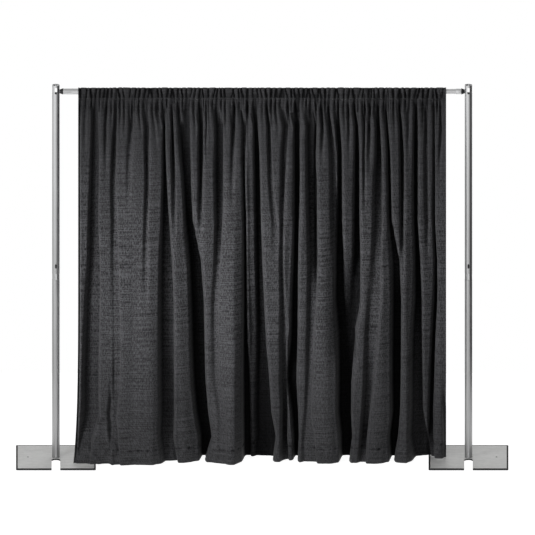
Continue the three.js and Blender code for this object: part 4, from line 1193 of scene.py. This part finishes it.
# Each valley between two folds, from the seam down: how far down, where across, its share of the
# full depth, and half of its width
VALLEYS_PX = [
    [(96, 79, 0.8, 1), (380, 79, 0.6, 1), (464, 79, 0.1, 1)],
    [(96, 84, 0.5, 2.2), (108, 83.5, 0.45, 2), (125, 84.5, 0.2, 1.5), (142, 85, 0, 1)],
    [(96, 95, 0.55, 2.5), (108, 95, 0.6, 3.2), (150, 95, 0.62, 4.8), (220, 93.5, 0.62, 5.5),
     (260, 94, 0.55, 6.5), (300, 92.5, 0.5, 8), (380, 90.5, 0.55, 8.5), (415, 91, 0.5, 8.5),
     (440, 86, 0.4, 6), (464, 84, 0.08, 6)],
    [(96, 106, 0.6, 1.2), (108, 106, 0.6, 1.3), (125, 105, 0.4, 1.5), (168, 106, 0, 1.5)],
    [(96, 116, 0.5, 1.8), (125, 115, 0.55, 2), (150, 114, 0.55, 2.4), (180, 113, 0.4, 2.8),
     (220, 114.5, 0.3, 3.2), (260, 115, 0.2, 4), (340, 116, 0.12, 5), (380, 116, 0.25, 4.5),
     (415, 112, 0.25, 5), (464, 116, 0.1, 4)],
    [(96, 132, 0.6, 1.3), (108, 132, 0.65, 1.4), (125, 131, 0.5, 1.8), (150, 129, 0.28, 2.6),
     (200, 128, 0, 2)],
    [(96, 145, 0.5, 1.6), (125, 147, 0.55, 2.8), (150, 146.5, 0.55, 2.2), (180, 147, 0.45, 2),
     (220, 146, 0.25, 2.2), (310, 145, 0, 2.4)],
    [(96, 157, 0.55, 1.8), (108, 157, 0.55, 2), (125, 155, 0.2, 1.5), (142, 155, 0, 1.5)],
    [(96, 163, 0.5, 1.5), (108, 164, 0.6, 1.8), (125, 164.3, 0.9, 1.3), (150, 164.5, 0.9, 1.7),
     (180, 165, 0.88, 2.6), (220, 165.5, 0.8, 4.6), (260, 166, 0.72, 6.8), (300, 166.5, 0.68, 8),
     (415, 167, 0.7, 8), (440, 166, 0.6, 8), (464, 170, 0.4, 8)],
    [(96, 172, 0.7, 1), (108, 172, 0.8, 1), (125, 172.5, 0.85, 1.4), (150, 173, 0.75, 2),
     (180, 173.5, 0.45, 2), (215, 174, 0.15, 1.7), (232, 174, 0, 1.5)],
    [(96, 179, 0.7, 1.2), (108, 179, 0.75, 1.4), (125, 179, 0.4, 1.2), (142, 179, 0, 1)],
    [(96, 186, 0.6, 2.5), (108, 187, 0.65, 3.4), (125, 184.5, 0.8, 6.2), (150, 185.5, 0.85, 6),
     (180, 187, 0.85, 5), (220, 189, 0.95, 5), (260, 195, 1, 7.2), (300, 197, 1, 8), (380, 199, 1, 7.6),
     (415, 202, 1, 7.5), (440, 206, 1, 7), (464, 203, 1, 3)],
    [(96, 200, 0.7, 2), (125, 201, 0.8, 2.8), (150, 201, 0.8, 2.8), (180, 200.5, 0.7, 2.2),
     (205, 200, 0.45, 2.2), (222, 200, 0.15, 2), (236, 200, 0, 2)],
    [(96, 206, 0.7, 0.8), (125, 206.3, 0.5, 0.8), (142, 206, 0, 0.8)],
    [(96, 216, 0.5, 2.5), (108, 216.5, 0.55, 3), (125, 219.5, 0.75, 4.8), (180, 219, 0.8, 5),
     (220, 219, 0.65, 4), (260, 217.5, 0.4, 3.2), (300, 215, 0.25, 3.4), (380, 216, 0.2, 3.4),
     (415, 222, 0.12, 4), (464, 222, 0.05, 4)],
    [(96, 234, 0.7, 1.2), (108, 234.5, 0.85, 1.6), (125, 233.5, 0.65, 2.2), (150, 232.3, 0.4, 1.6),
     (200, 231, 0, 1.2)],
    [(96, 241, 0.6, 1), (108, 241, 0.6, 1.3), (125, 244.5, 0.6, 2.6), (150, 243.5, 0.6, 2),
     (180, 244, 0.8, 1.6), (220, 245, 0.95, 1.7), (300, 245.5, 1, 2), (340, 245.5, 1, 2.6),
     (380, 246.5, 1, 4.2), (464, 247.5, 1, 4.6)],
    [(96, 248, 0.7, 1.2), (108, 247.5, 0.8, 1.6), (125, 248, 0.2, 1), (142, 248, 0, 1)],
    [(96, 254.5, 0.7, 2.4), (108, 255, 0.75, 2.8), (125, 256, 0.85, 2.6), (150, 257, 0.95, 3.6),
     (220, 258.5, 0.95, 3.7), (260, 259.5, 0.95, 4), (340, 262, 0.95, 5), (380, 263, 0.98, 7.5),
     (415, 263.5, 1, 9), (440, 266, 1, 11), (464, 263, 0.95, 11)],
    [(150, 252, 0, 5), (200, 252, 0.3, 6), (280, 252.5, 0.5, 7), (340, 256, 0.6, 9),
     (415, 257, 0.6, 13), (464, 258, 0.7, 14)],
    [(96, 267, 0.6, 1.4), (108, 267, 0.7, 1.6), (125, 269, 0.6, 2), (150, 269.5, 0.5, 2),
     (180, 270.5, 0.3, 2.2), (220, 275, 0.2, 3), (255, 276, 0, 3)],
    [(96, 281, 0.2, 1), (125, 286, 0.6, 3), (150, 284, 0.55, 3), (180, 283, 0.55, 2.4),
     (220, 282, 0.35, 1.8), (260, 281.5, 0.3, 1.8), (300, 282.5, 0.35, 2), (340, 283.5, 0.35, 3),
     (380, 283.5, 0.5, 3), (415, 285, 0.7, 3.5), (440, 284.5, 0.8, 3.5), (464, 285, 0.3, 4)],
    [(96, 288, 0.6, 1.2), (108, 288, 0.7, 1.4), (132, 288, 0, 1)],
    [(96, 297, 0.8, 3), (108, 297, 0.8, 3.6), (180, 297.3, 0.95, 3.8), (220, 296.8, 0.98, 3.3),
     (260, 296, 1, 3.3), (300, 295, 1, 4.2), (340, 294.5, 1, 4.4), (380, 291.5, 1, 6),
     (415, 295, 1, 4.4), (440, 296.5, 1, 3.6), (464, 296, 1, 2.5)],
    [(96, 311, 0.5, 2), (125, 311, 0.7, 5.4), (180, 312, 0.75, 6), (220, 312.5, 0.65, 5.5),
     (260, 313.5, 0.5, 5), (300, 312, 0.4, 5), (340, 310.5, 0.32, 3.4), (415, 308, 0.2, 3.4),
     (440, 308, 0.25, 7), (464, 309, 0.2, 8)],
    [(96, 316, 0.7, 1), (125, 316, 0.9, 1.1), (180, 315.5, 0.8, 2), (260, 316, 0.6, 1.4),
     (292, 316, 0, 1)],
    [(96, 321.5, 0.7, 1.6), (108, 321.5, 0.8, 1.8), (125, 322.5, 0.6, 1.6), (148, 322, 0, 1.4)],
    [(96, 328.5, 0.8, 1.2), (108, 328.5, 0.85, 1.4), (125, 330, 0.6, 2.6), (150, 333, 0.45, 3.2),
     (220, 334, 0.4, 3.4), (262, 337, 0.2, 3), (290, 338, 0, 3)],
    [(96, 338, 0.6, 1.2), (108, 338, 0.6, 1.4), (125, 338, 0.75, 3), (150, 340, 0.9, 2.8),
     (180, 340, 0.95, 3), (220, 340, 0.97, 3.4), (260, 340, 1, 5), (300, 339.5, 1, 5.5),
     (340, 346.5, 1, 10), (380, 345, 1, 7.8), (415, 344.5, 1, 7.8), (440, 346.5, 1, 7),
     (464, 345, 1, 5.5)],
    [(96, 348, 0.7, 1), (108, 348.5, 0.7, 1.2), (142, 349, 0, 1)],
    [(215, 349, 0, 8), (250, 349, 0.35, 8), (280, 349, 0.7, 9), (312, 348, 0.93, 9), (340, 348, 0.9, 9),
     (370, 348, 0, 9)],
    [(96, 354.5, 0.7, 1.4), (108, 354.5, 0.8, 1.6), (125, 357, 0.85, 2.2), (150, 357.3, 0.95, 3),
     (220, 357, 0.97, 3.8), (260, 357.5, 1, 4.2), (300, 355.5, 1, 6), (325, 353, 0.9, 5),
     (352, 350, 0, 4)],
    [(96, 364.5, 0.8, 1), (108, 365, 0.8, 1.5), (125, 364.5, 0.7, 1), (150, 364, 0.5, 1),
     (205, 364, 0, 1)],
    [(96, 370, 0.8, 1.2), (108, 370, 0.85, 1.4), (125, 369, 0.65, 1.8), (158, 369, 0, 1.2)],
    [(96, 377, 0.8, 1.8), (108, 378, 0.8, 2), (125, 378.3, 0.85, 2.6), (150, 379, 0.8, 3.4),
     (180, 378, 0.65, 4.5), (220, 377.5, 0.5, 5), (260, 376.5, 0.3, 5), (300, 374, 0.3, 7),
     (340, 371, 0.35, 6.5), (380, 369, 0.45, 5), (415, 366, 0.5, 4), (440, 364, 0.65, 3.5),
     (464, 362, 0.2, 4)],
    [(96, 386, 0.8, 1), (108, 386, 0.85, 1.2), (125, 387, 0.7, 1.6), (150, 389, 0.9, 2),
     (220, 390.5, 0.9, 2.2), (260, 396, 0.75, 4.5), (300, 397, 0.95, 5.5), (380, 396.5, 1, 5.6),
     (415, 396.5, 1, 4.8), (440, 394, 1, 5.4), (464, 392.5, 1, 2.5)],
    [(96, 399.5, 0.8, 1.2), (108, 399.5, 0.85, 1.5), (125, 401, 0.8, 2), (150, 402, 0.75, 2.6),
     (180, 402.3, 0.8, 2.2), (220, 402, 0.6, 1.8), (272, 402, 0, 2)],
    [(96, 408, 0.5, 1.2), (125, 408, 0.3, 1.2), (142, 408, 0, 1.2)],
    [(96, 416, 0.7, 2), (125, 416, 0.85, 2.6), (150, 416, 0.98, 3), (220, 416, 1, 2.8),
     (260, 418, 1, 3.6), (300, 418.5, 0.95, 4.6), (340, 417, 0.8, 6), (415, 417, 0.7, 7),
     (440, 418, 0.75, 10), (464, 422, 0.7, 10)],
    [(96, 425, 0.7, 1.6), (125, 426, 0.5, 1.6), (150, 426, 0.3, 2), (220, 427, 0.25, 1.6),
     (255, 427, 0, 1.5)],
    [(96, 434, 0.6, 1), (180, 434.3, 0.55, 1.2), (220, 434.3, 0.8, 1.2), (260, 436.3, 0.9, 1.4),
     (300, 436, 0.95, 2.2), (340, 434, 1, 2.4), (380, 432.6, 1, 2.8), (415, 431.5, 1, 2.8),
     (440, 431, 0.9, 3.5), (464, 431, 0.5, 4)],
    [(96, 440, 0.6, 0.8), (125, 441, 0.4, 1.4), (168, 439, 0, 1.2)],
    [(390, 444, 0, 1.5), (415, 444.5, 0.5, 2), (440, 445, 0.6, 1.6), (464, 445, 0.4, 1.6)],
]

# How far forward the hem stands, as a share of the furthest fold, from left to right
HEM_REACH_PX = [
    (78, 0.95), (94, 0.9), (110, 0.88), (112, 1), (126, 0.92), (133, 0.88), (153, 0.95), (178, 0.62),
    (200, 0.58), (211, 0.55), (226, 0.78), (234, 1), (241, 0.92), (246, 0.7), (272, 0.5), (279, 0.58),
    (288, 0.42), (300, 0.62), (324, 0.74), (338, 0.8), (353, 0.68), (389, 0.76), (395, 0.52), (406, 0.74),
    (413, 0.5), (422, 0.25), (432, 0.2), (440, 0.32), (446, 0.3),
]

# Creases pressed into the cloth, each a line of (down, across) with its height and half width
CREASES_PX = [
    ([(413, 114), (421, 108), (431, 106), (440, 109), (447, 115)], 10 * MM, 2),
    ([(431, 144), (430, 158)], 8 * MM, 1.8),
    ([(425, 179), (428, 193)], 9 * MM, 1.9),
    ([(441, 76), (450, 88), (462, 99)], 12 * MM, 2.4),
    ([(450, 75), (458, 84), (463, 89)], 11 * MM, 2.2),
    ([(434, 84), (442, 93), (450, 103)], 10 * MM, 2.4),
    ([(421, 446), (426, 439), (433, 434)], 5 * MM, 1.4),
    ([(433, 446), (438, 438), (446, 435)], 5 * MM, 1.4),
    ([(446, 446), (450, 440), (456, 437)], 4 * MM, 1.3),
    ([(405, 360), (414, 371), (420, 384)], 3 * MM, 1.6),
    ([(396, 208), (404, 220), (409, 236)], 3 * MM, 1.6),
]


def between(table, place):
    """The values of a table of rising places, at a place between its rows."""
    if place <= table[0][0]:
        return table[0][1:]
    for before, after in zip(table, table[1:]):
        if place <= after[0]:
            share = (place - before[0]) / (after[0] - before[0])
            return tuple(a + (b - a) * share for a, b in zip(before[1:], after[1:]))
    return table[-1][1:]


def ease(share):
    share = min(1, max(0, share))
    return share * share * (3 - 2 * share)


def ripple(across, down, height, seed, pitch_across, pitch_down):
    return height * noise.noise(Vector((across / pitch_across, down / pitch_down, seed)))


# Gathers of the head. Depth, half width, lean in the pocket and length each have a least value and
# a range above it, and so has the gap to the next gather
GATHER_RANGES = ((0.55, 0.5), (0.6, 0.7), (-3, 6), (9, 26))
GATHER_GAP, GATHER_GAP_RANGE = 2.8, 3
GATHER_INSET, GATHER_END_INSET = 2.5, 1
# Chance comes from noise along a line, which is walked at this pace, with a seed for each value
GATHER_PACE, GATHER_LINE, CHANCE_RANGE = 3.7, 5.3, 0.9
GATHER_SEEDS = (1.3, 4.1, 7.9, 9.7)


def gather_lines():
    """The gathers from left to right: place, depth, half width, lean and length."""
    lines = []
    place = DRAPE_LEFT_PX + GATHER_INSET
    while place < DRAPE_RIGHT_PX - GATHER_END_INSET:
        chances = [0.5 + CHANCE_RANGE * noise.noise(Vector((place * GATHER_PACE, GATHER_LINE, seed)))
                   for seed in GATHER_SEEDS]
        values = [least + more * chance for (least, more), chance in zip(GATHER_RANGES, chances)]
        lines.append((place, *values))
        place += GATHER_GAP + GATHER_GAP_RANGE * chances[-1]
    return lines


GATHERS = gather_lines()

# How the folds grow down the fall, which counts from 0 at the seam to 1 at the hem
FLANK, FLANK_GROWTH, FLANK_RATE = 1.7, 1.9, 1.8
HEAD_GROWTH, HEAD_FALL, GROWTH_POWER = 0.35, 0.045, 0.62
FOLD_START, FOLD_FALL = 0.15, 0.03
FRONT_POWER, BACK_SHARE, LOOSE_POWER = 0.25, 0.6, 0.6
HEM_BLEND_RATE, HEM_BLEND_LATE = 1.15, 0.15
# A valley's left side is gentle and its right side steep, in shares of the flank and of its half width
GENTLE_START, GENTLE_FLANK, GENTLE_HALF, STEEP_FLANK = 0.55, 0.95, 0.35, 0.45
# Beyond this many pixels a valley has no effect
VALLEY_END = 16
# The cloth sinks a little on the left of a valley: by a share of its depth, over so many pixels
SKIRT_DEPTH, SKIRT_WIDTH = 0.22, 8
# The next fold's edge hangs over the valley: how far at most and at least, and its share of the
# half width. The scale makes the highest value of up * (1 - up) ** 2 one
OVERHANG_MOST, OVERHANG_LEAST, OVERHANG_SHARE, OVERHANG_SCALE = 1.6, 0.3, 0.35, 6.75

# Ripples: height, seed, and pitch across and down in pixels
BILLOWS = (9 * MM, 3.1, 26, 150)
WAVES = (4 * MM, 7.7, 9, 70)
CREPE = (1.6 * MM, 11.3, 2.6, 26)
HEAD_RIPPLE = (7 * MM, 5.5, 1.9, 30)
HEM_WAVES = (4 * MM, 4.4, 3.6, 9)
HEM_CREPE = (1.5 * MM, 9.1, 5, 12)
HEM_LEVEL = (1.5 * MM, 6.6, 14, 1)
PUFFS = (0.5, 5.5, 9, 3)
PUCKERS = (1.2, 2.2, 3.4, 1)
# The ripple of the head: its share at the seam, where it is full, and where it ends
HEAD_RIPPLE_SEAM, HEAD_RIPPLE_FULL, HEAD_RIPPLE_END = 0.35, 0.012, 0.1


class Folds:
    """The line of the cloth across one level, in metres, from places across in pixels."""

    def __init__(self, settings, down):
        self.down = down
        self.fall = fall = (down - SEAM_PX) / FALL_PX
        self.valleys = []
        for table in VALLEYS_PX:
            across, depth, half = between(table, down)
            if depth > 0:
                self.valleys.append((across, depth, half))
        for place, depth, half, _, length in GATHERS:
            left = 1 - ease((down - SEAM_PX) / length)
            if left > 0:
                self.valleys.append((place, depth * left, half))
        self.flank = FLANK + FLANK_GROWTH * ease(fall * FLANK_RATE)
        grown = ease(fall / HEAD_FALL) * HEAD_GROWTH + (1 - HEAD_GROWTH) * fall ** GROWTH_POWER
        head = settings.head_fold * ease(fall / FOLD_FALL + FOLD_START)
        front = settings.ridge_reach - settings.head_fold
        back = settings.valley_reach - BACK_SHARE * settings.head_fold
        self.front = head + front * grown * fall ** FRONT_POWER
        self.back = head * BACK_SHARE + back * grown

    def depth_share(self, across, centre, depth, half):
        """A valley goes down gently from its left, and up steeply to the next fold's edge."""
        off = across - centre
        run = GENTLE_HALF * half + GENTLE_FLANK * self.flank
        down = ease((off + half + GENTLE_START * self.flank) / run)
        up = 1 - ease((off - half) / (STEEP_FLANK * self.flank) + 0.5)
        return depth * min(down, up), down, up

    def dip(self, across):
        """How deep the valleys are here, as a share of the full depth."""
        left = 1.0
        for valley in self.valleys:
            left *= 1 - self.depth_share(across, *valley)[0]
        return 1 - left

    def at(self, across):
        """Forward reach, sideways shift, and depth for painted shade, at one place across."""
        fall = self.fall
        hem_share = ease(fall * HEM_BLEND_RATE - HEM_BLEND_LATE)
        reach = 1 + (between(HEM_REACH_PX, across)[0] - 1) * hem_share
        left, floor, shift = 1.0, 1.0, 0.0
        for centre, depth, half in self.valleys:
            off = across - centre
            if abs(off) - half < VALLEY_END:
                share, down, up = self.depth_share(across, centre, depth, half)
                before = -(min(0, off + half) / SKIRT_WIDTH) ** 2
                skirt = SKIRT_DEPTH * math.exp(before) if off < 0 else 0
                left *= 1 - depth * skirt * (1 - share) * (1 - down) - share
                floor *= 1 - share
                hang = up * (1 - up) ** 2 * OVERHANG_SCALE
                shift -= depth * hang * min(OVERHANG_MOST, OVERHANG_SHARE * half + OVERHANG_LEAST)
        dip = 1 - left
        y = -self.front * reach * (1 - dip) + self.back * dip
        loose = fall ** LOOSE_POWER
        y += loose * ripple(across, self.down, *BILLOWS)
        y += loose * ripple(across, self.down, *WAVES)
        y += ripple(across, self.down, *CREPE)
        seam = HEAD_RIPPLE_SEAM + (1 - HEAD_RIPPLE_SEAM) * ease(fall / HEAD_RIPPLE_FULL)
        y += (1 - ease(fall / HEAD_RIPPLE_END)) * seam * ripple(across, self.down, *HEAD_RIPPLE)
        return y, shift, 1 - floor


# The pocket's creases lean from this turn, as a share of a half turn, and are this much deeper
# than the gathers. Their sides run this far, in half widths
LEAN_TURN, POCKET_DEPTH, POCKET_RUN = 1.1, 1.15, 1.9
# How full a puff is in the mean
PUFF_LEVEL = 0.75


def gather_lift(across, turn, lines):
    """Puffs of the gathered pocket, parted by creases that lean both ways."""
    lift = 1.0
    for place, depth, half, lean, _ in lines:
        off = abs(across - place - lean * (LEAN_TURN - turn / math.pi))
        if off < POCKET_RUN * half:
            lift *= 1 - min(1, POCKET_DEPTH * depth) * (1 - ease(off / (POCKET_RUN * half)))
    return lift * (PUFF_LEVEL + ripple(across, turn, *PUFFS))


# A crease has no effect beyond this: pixels down from its first point, and half widths off its line
CREASE_DOWN, CREASE_ACROSS = 60, 3


def crease_height(across, down):
    lift = 0.0
    for line, height, half in CREASES_PX:
        if abs(down - line[0][0]) > CREASE_DOWN:
            continue
        for (down_a, across_a), (down_b, across_b) in zip(line, line[1:]):
            run = Vector((across_b - across_a, down_b - down_a))
            place = Vector((across - across_a, down - down_a))
            share = min(1, max(0, place.dot(run) / run.length_squared))
            off = (place - run * share).length
            if off < CREASE_ACROSS * half:
                lift = max(lift, height * math.exp(-(off / half) ** 2))
    return lift


SEAM_ABOVE_HEM = 2348.3 * MM
POINTS_PER_COLUMN = 4

# Rows round the pocket, in half turns from the top of the bar: behind it, over it, and to the seam
POCKET_BACK = (-1, -0.86, -0.7, -0.45, -0.2)
POCKET_OVER, POCKET_STEPS = 0.74, 12
POCKET_FRONT = (0.82, 0.9, 0.96)
POCKET_TAIL = 7 * MM
TAIL_BEHIND = 3.2 * MM
# Where back and front meet below the bar, they part by this much over this turn
POCKET_APART, APART_TURN = 1.6 * MM, 0.6
# How far the puffs stand out, how much less of it behind the bar, and how soon they are full
PUFF_HEIGHT, PUFF_SINK, PUFF_BACK, PUFF_RATE = 17 * MM, 3.2 * MM, 0.25, 1.3
# The folds below draw the puffs in, from a little way over the bar
DRAWN_SHARE, DRAWN_RATE, DRAWN_LATE = 0.8, 1.7, 0.35
# Between two puffs the cloth is painted in shade: by this shade, less its lift as a share of a full lift
CREASE_SHADE, CREASE_LIFT = 1.35, 0.6
# A pocket row looks for its gathers anew every so many points, this far to the left and right
GATHER_SEARCH, SEARCH_LEFT, SEARCH_RIGHT = 64, -12, 22

# Rows of the fall: pixels of the head, of the foot and over the stitching, and the rows in each part
HEAD_PX, FOOT_PX, STITCH_PX = 14, 66, 2
HEAD_ROWS, FALL_ROWS, FOOT_ROWS, HEM_ROWS = 10, 21, 14, 8
HEAD_CROWDING = 1.3

# Puckers along the hem's stitches: half width in pixels, least share, depth and how much shade is painted
# into them
PUCKER_HALF, PUCKER_LEAST, PUCKER_DEPTH, PUCKER_SHADE = 1.8, 0.6, 4 * MM, 0.8
# The hem's waves start above the stitches, over so many pixels, and slant
HEM_WAVES_ABOVE, HEM_WAVES_RUN, HEM_SLANT = 16, 14, 0.6
HEM_CREPE_RUN = 6
# The left edge flares out towards the hem
FLARE, FLARE_POWER, FLARE_PX = 30 * MM, 8, 12
# Clear of the base plates the hem hangs lower
CLEAR_OF_PLATES, CLEAR_RUN, CLEAR_DROP = 940 * MM, 25 * MM, 8 * MM

# Shares of depth and width by which columns are spread, and of depth in the cloth's length
SPREAD_DEPTH, SPREAD_WIDTH, DROP_DEPTH = 0.4, 0.4, 0.3


def places_across(columns):
    """The places of a row's points, in pixels."""
    steps = columns * POINTS_PER_COLUMN
    return [DRAPE_LEFT_PX + step / steps * DRAPE_WIDTH_PX for step in range(steps + 1)]


class BACKDROP_OT_drape(bpy.types.Operator):
    """Hang the black drape from its rod pocket, with its gathers, folds and stitched hem"""
    bl_idname = "backdrop.drape"
    bl_label = "Drape"

    def execute(self, context):
        settings = context.scene.backdrop_drape
        self.seam_z = DRAPE_LOW.z + SEAM_ABOVE_HEM
        rows = self.pocket_rows(settings) + self.fall_rows(settings)
        cloth, size = self.weave(rows, settings.columns)
        apply_modifier(cloth, "SOLIDIFY", thickness=settings.thickness, offset=0)
        smooth(cloth, 180)
        hand_over(cloth, "drape", [black_cloth(settings.cloth)])
        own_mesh(cloth)
        return {"FINISHED"}

    def x_at(self, across):
        share = (across - DRAPE_LEFT_PX) / DRAPE_WIDTH_PX
        return DRAPE_LOW.x + share * (DRAPE_HIGH.x - DRAPE_LOW.x)

    def pocket_rows(self, settings):
        """Rows of the pocket, from the stitched tail at the back, over the bar, to the seam."""
        turns = [math.pi * share for share in POCKET_BACK]
        turns += [math.pi * step / POCKET_STEPS * POCKET_OVER for step in range(POCKET_STEPS + 1)]
        turns += [math.pi * share for share in POCKET_FRONT]
        return [self.pocket_row(settings, turn) for turn in (math.pi, *turns)]

    def pocket_row(self, settings, turn):
        """One row of the pocket. The turn counts from the top of the bar, forward of it."""
        radius, drop = settings.pocket, BAR_HEIGHT - self.seam_z
        steep = max(0, abs(turn) - math.pi + math.acos(radius / drop))
        base = radius / math.cos(steep)
        apart = POCKET_APART * ease(steep / APART_TURN)
        puff = PUFF_BACK + (1 - PUFF_BACK) * ease(PUFF_RATE * turn)
        late = ease(turn / math.pi * DRAWN_RATE - DRAWN_LATE)
        folds = Folds(settings, SEAM_PX + STITCH_PX)
        points = []
        for step, across in enumerate(places_across(settings.columns)):
            if step % GATHER_SEARCH == 0:
                near = [line for line in GATHERS if SEARCH_LEFT < line[0] - across < SEARCH_RIGHT]
            lift = gather_lift(across, turn, near)
            drawn = folds.dip(across) * late if turn > 0 else 0
            # Painted shade in the pocket's creases and where the folds draw it in
            deep = max(CREASE_SHADE - lift / CREASE_LIFT, drawn) if turn > 0 else 0
            if turn == math.pi:
                y, z = TAIL_BEHIND, self.seam_z - POCKET_TAIL
            else:
                out = base + (lift * (1 - DRAWN_SHARE * drawn) * PUFF_HEIGHT - PUFF_SINK) * puff
                y = -out * math.sin(turn) - math.copysign(apart, turn)
                z = BAR_HEIGHT + out * math.cos(turn)
            points.append((self.x_at(across), y, z, deep))
        return points

    def fall_rows(self, settings):
        """Rows from the seam to the hem, closer together at the gathers and at the hem."""
        hem_px = settings.hem / (self.seam_z - DRAPE_LOW.z) * FALL_PX
        head, foot, stitch = SEAM_PX + HEAD_PX, HEM_PX - FOOT_PX, HEM_PX - hem_px - STITCH_PX
        downs = [SEAM_PX + HEAD_PX * (step / HEAD_ROWS) ** HEAD_CROWDING for step in range(HEAD_ROWS)]
        for low, high, count in ((head, foot, FALL_ROWS), (foot, stitch, FOOT_ROWS),
                                 (stitch, HEM_PX, HEM_ROWS)):
            downs += [low + (high - low) * step / count for step in range(count)]
        return [self.fall_row(settings, down, HEM_PX - hem_px) for down in (*downs, HEM_PX)]

    def fall_row(self, settings, down, stitch_px):
        folds = Folds(settings, down)
        fall = folds.fall
        pucker = math.exp(-((down - stitch_px) / PUCKER_HALF) ** 2)
        near_hem = ease((down - stitch_px + HEM_WAVES_ABOVE) / HEM_WAVES_RUN)
        in_hem = ease((down - stitch_px) / HEM_CREPE_RUN)
        flare = FLARE * fall ** FLARE_POWER
        points = []
        for across in places_across(settings.columns):
            y, shift, deep = folds.at(across)
            pinch = pucker * (PUCKER_LEAST + ripple(across, 0, *PUCKERS))
            # Painted shade in the hem's puckers
            deep = max(deep, PUCKER_SHADE * pinch)
            y += pinch * PUCKER_DEPTH - crease_height(across, down)
            y += near_hem * ripple(across + HEM_SLANT * down, down, *HEM_WAVES)
            y += in_hem * ripple(across, down, *HEM_CREPE)
            x = self.x_at(across + shift) - flare * ease((DRAPE_LEFT_PX + FLARE_PX - across) / FLARE_PX)
            over_plate = ease((abs(x) - CLEAR_OF_PLATES) / CLEAR_RUN)
            hem_z = DRAPE_LOW.z - CLEAR_DROP * (1 - over_plate) + fall * ripple(across, 0, *HEM_LEVEL)
            z = self.seam_z - fall * (self.seam_z - hem_z)
            points.append((x, y, z, deep))
        return points

    def weave(self, rows, columns):
        """The sheet through all rows, its columns closer together where the cloth is steep."""
        lines, lengths = zip(*(self.even_out(row, columns) for row in rows))
        longest = sorted(lengths)[len(lengths) // 3:]
        width = sum(longest) / len(longest)
        middles = [line[columns // 2] for line in lines]
        drops = [0.0]
        for before, after in zip(middles, middles[1:]):
            step = math.hypot(before[2] - after[2], DROP_DEPTH * (before[1] - after[1]))
            drops.append(drops[-1] + step)
        faces = []
        for row in range(len(lines) - 1):
            for column in range(columns):
                first = row * (columns + 1) + column
                faces.append((first, first + columns + 1, first + columns + 2, first + 1))
        mesh = bpy.data.meshes.new("drape_cloth")
        mesh.from_pydata([point[:3] for line in lines for point in line], [], faces)
        layer = mesh.uv_layers.new(name="cloth")
        for loop in mesh.loops:
            row, column = divmod(loop.vertex_index, columns + 1)
            layer.data[loop.index].uv = (lines[row][column][4] * width, -drops[row])
        # The painted shade of folds, creases and puckers, which the cloth's colour reads
        depth = mesh.attributes.new("painted_fold_shade", "FLOAT", "POINT")
        depth.data.foreach_set("value", [point[3] for line in lines for point in line])
        cloth = bpy.data.objects.new("drape_cloth", mesh)
        bpy.context.scene.collection.objects.link(cloth)
        return cloth, (width, drops[-1])

    def even_out(self, row, columns):
        """Spreads a row's columns by a measure that counts depth less than width."""
        measure, length = [0.0], [0.0]
        for before, after in zip(row, row[1:]):
            run, rise = after[0] - before[0], after[1] - before[1]
            spread = math.hypot(run, SPREAD_DEPTH * rise) + SPREAD_WIDTH * abs(run)
            measure.append(measure[-1] + spread)
            length.append(length[-1] + math.hypot(run, rise))
        line, place = [], 0
        for column in range(columns + 1):
            target = measure[-1] * column / columns
            while place < len(measure) - 2 and measure[place + 1] < target:
                place += 1
            step = measure[place + 1] - measure[place]
            share = min(1, (target - measure[place]) / step) if step else 0
            point = [a + (b - a) * share for a, b in zip(row[place], row[place + 1])]
            point.append((length[place] + (length[place + 1] - length[place]) * share) / length[-1])
            line.append(point)
        return line, length[-1]


# Sidebar

OPERATORS = (
    BACKDROP_OT_stage,
    BACKDROP_OT_base_plates,
    BACKDROP_OT_base_pins,
    BACKDROP_OT_uprights,
    BACKDROP_OT_couplers,
    BACKDROP_OT_snap_buttons,
    BACKDROP_OT_crossbar,
    BACKDROP_OT_hooks,
    BACKDROP_OT_drape,
)

SETTINGS = {
    "backdrop_tube": BackdropTubeSettings,
    "backdrop_plate": BackdropPlateSettings,
    "backdrop_drape": BackdropDrapeSettings,
    "backdrop_stage": BackdropStageSettings,
}


class BACKDROP_PT_pieces(bpy.types.Panel):
    """The backdrop's pieces, in the order in which they are made"""
    bl_idname = "BACKDROP_PT_pieces"
    bl_label = "Pipe and Drape Backdrop"
    bl_space_type = "VIEW_3D"
    bl_region_type = "UI"
    bl_category = "Backdrop"

    def draw(self, context):
        for operator in OPERATORS:
            self.layout.operator(operator.bl_idname)
        for name, group in SETTINGS.items():
            box = self.layout.box()
            for label in group.__annotations__:
                box.prop(getattr(context.scene, name), label)


def register():
    for name, group in SETTINGS.items():
        bpy.utils.register_class(group)
        setattr(bpy.types.Scene, name, bpy.props.PointerProperty(type=group))
    for operator in OPERATORS:
        bpy.utils.register_class(operator)
    bpy.utils.register_class(BACKDROP_PT_pieces)


def unregister():
    bpy.utils.unregister_class(BACKDROP_PT_pieces)
    for operator in reversed(OPERATORS):
        bpy.utils.unregister_class(operator)
    for name, group in SETTINGS.items():
        delattr(bpy.types.Scene, name)
        bpy.utils.unregister_class(group)


def main():
    register()
    for operator in OPERATORS:
        family, name = operator.bl_idname.split(".")
        getattr(getattr(bpy.ops, family), name)()


if __name__ == "__main__":
    main()
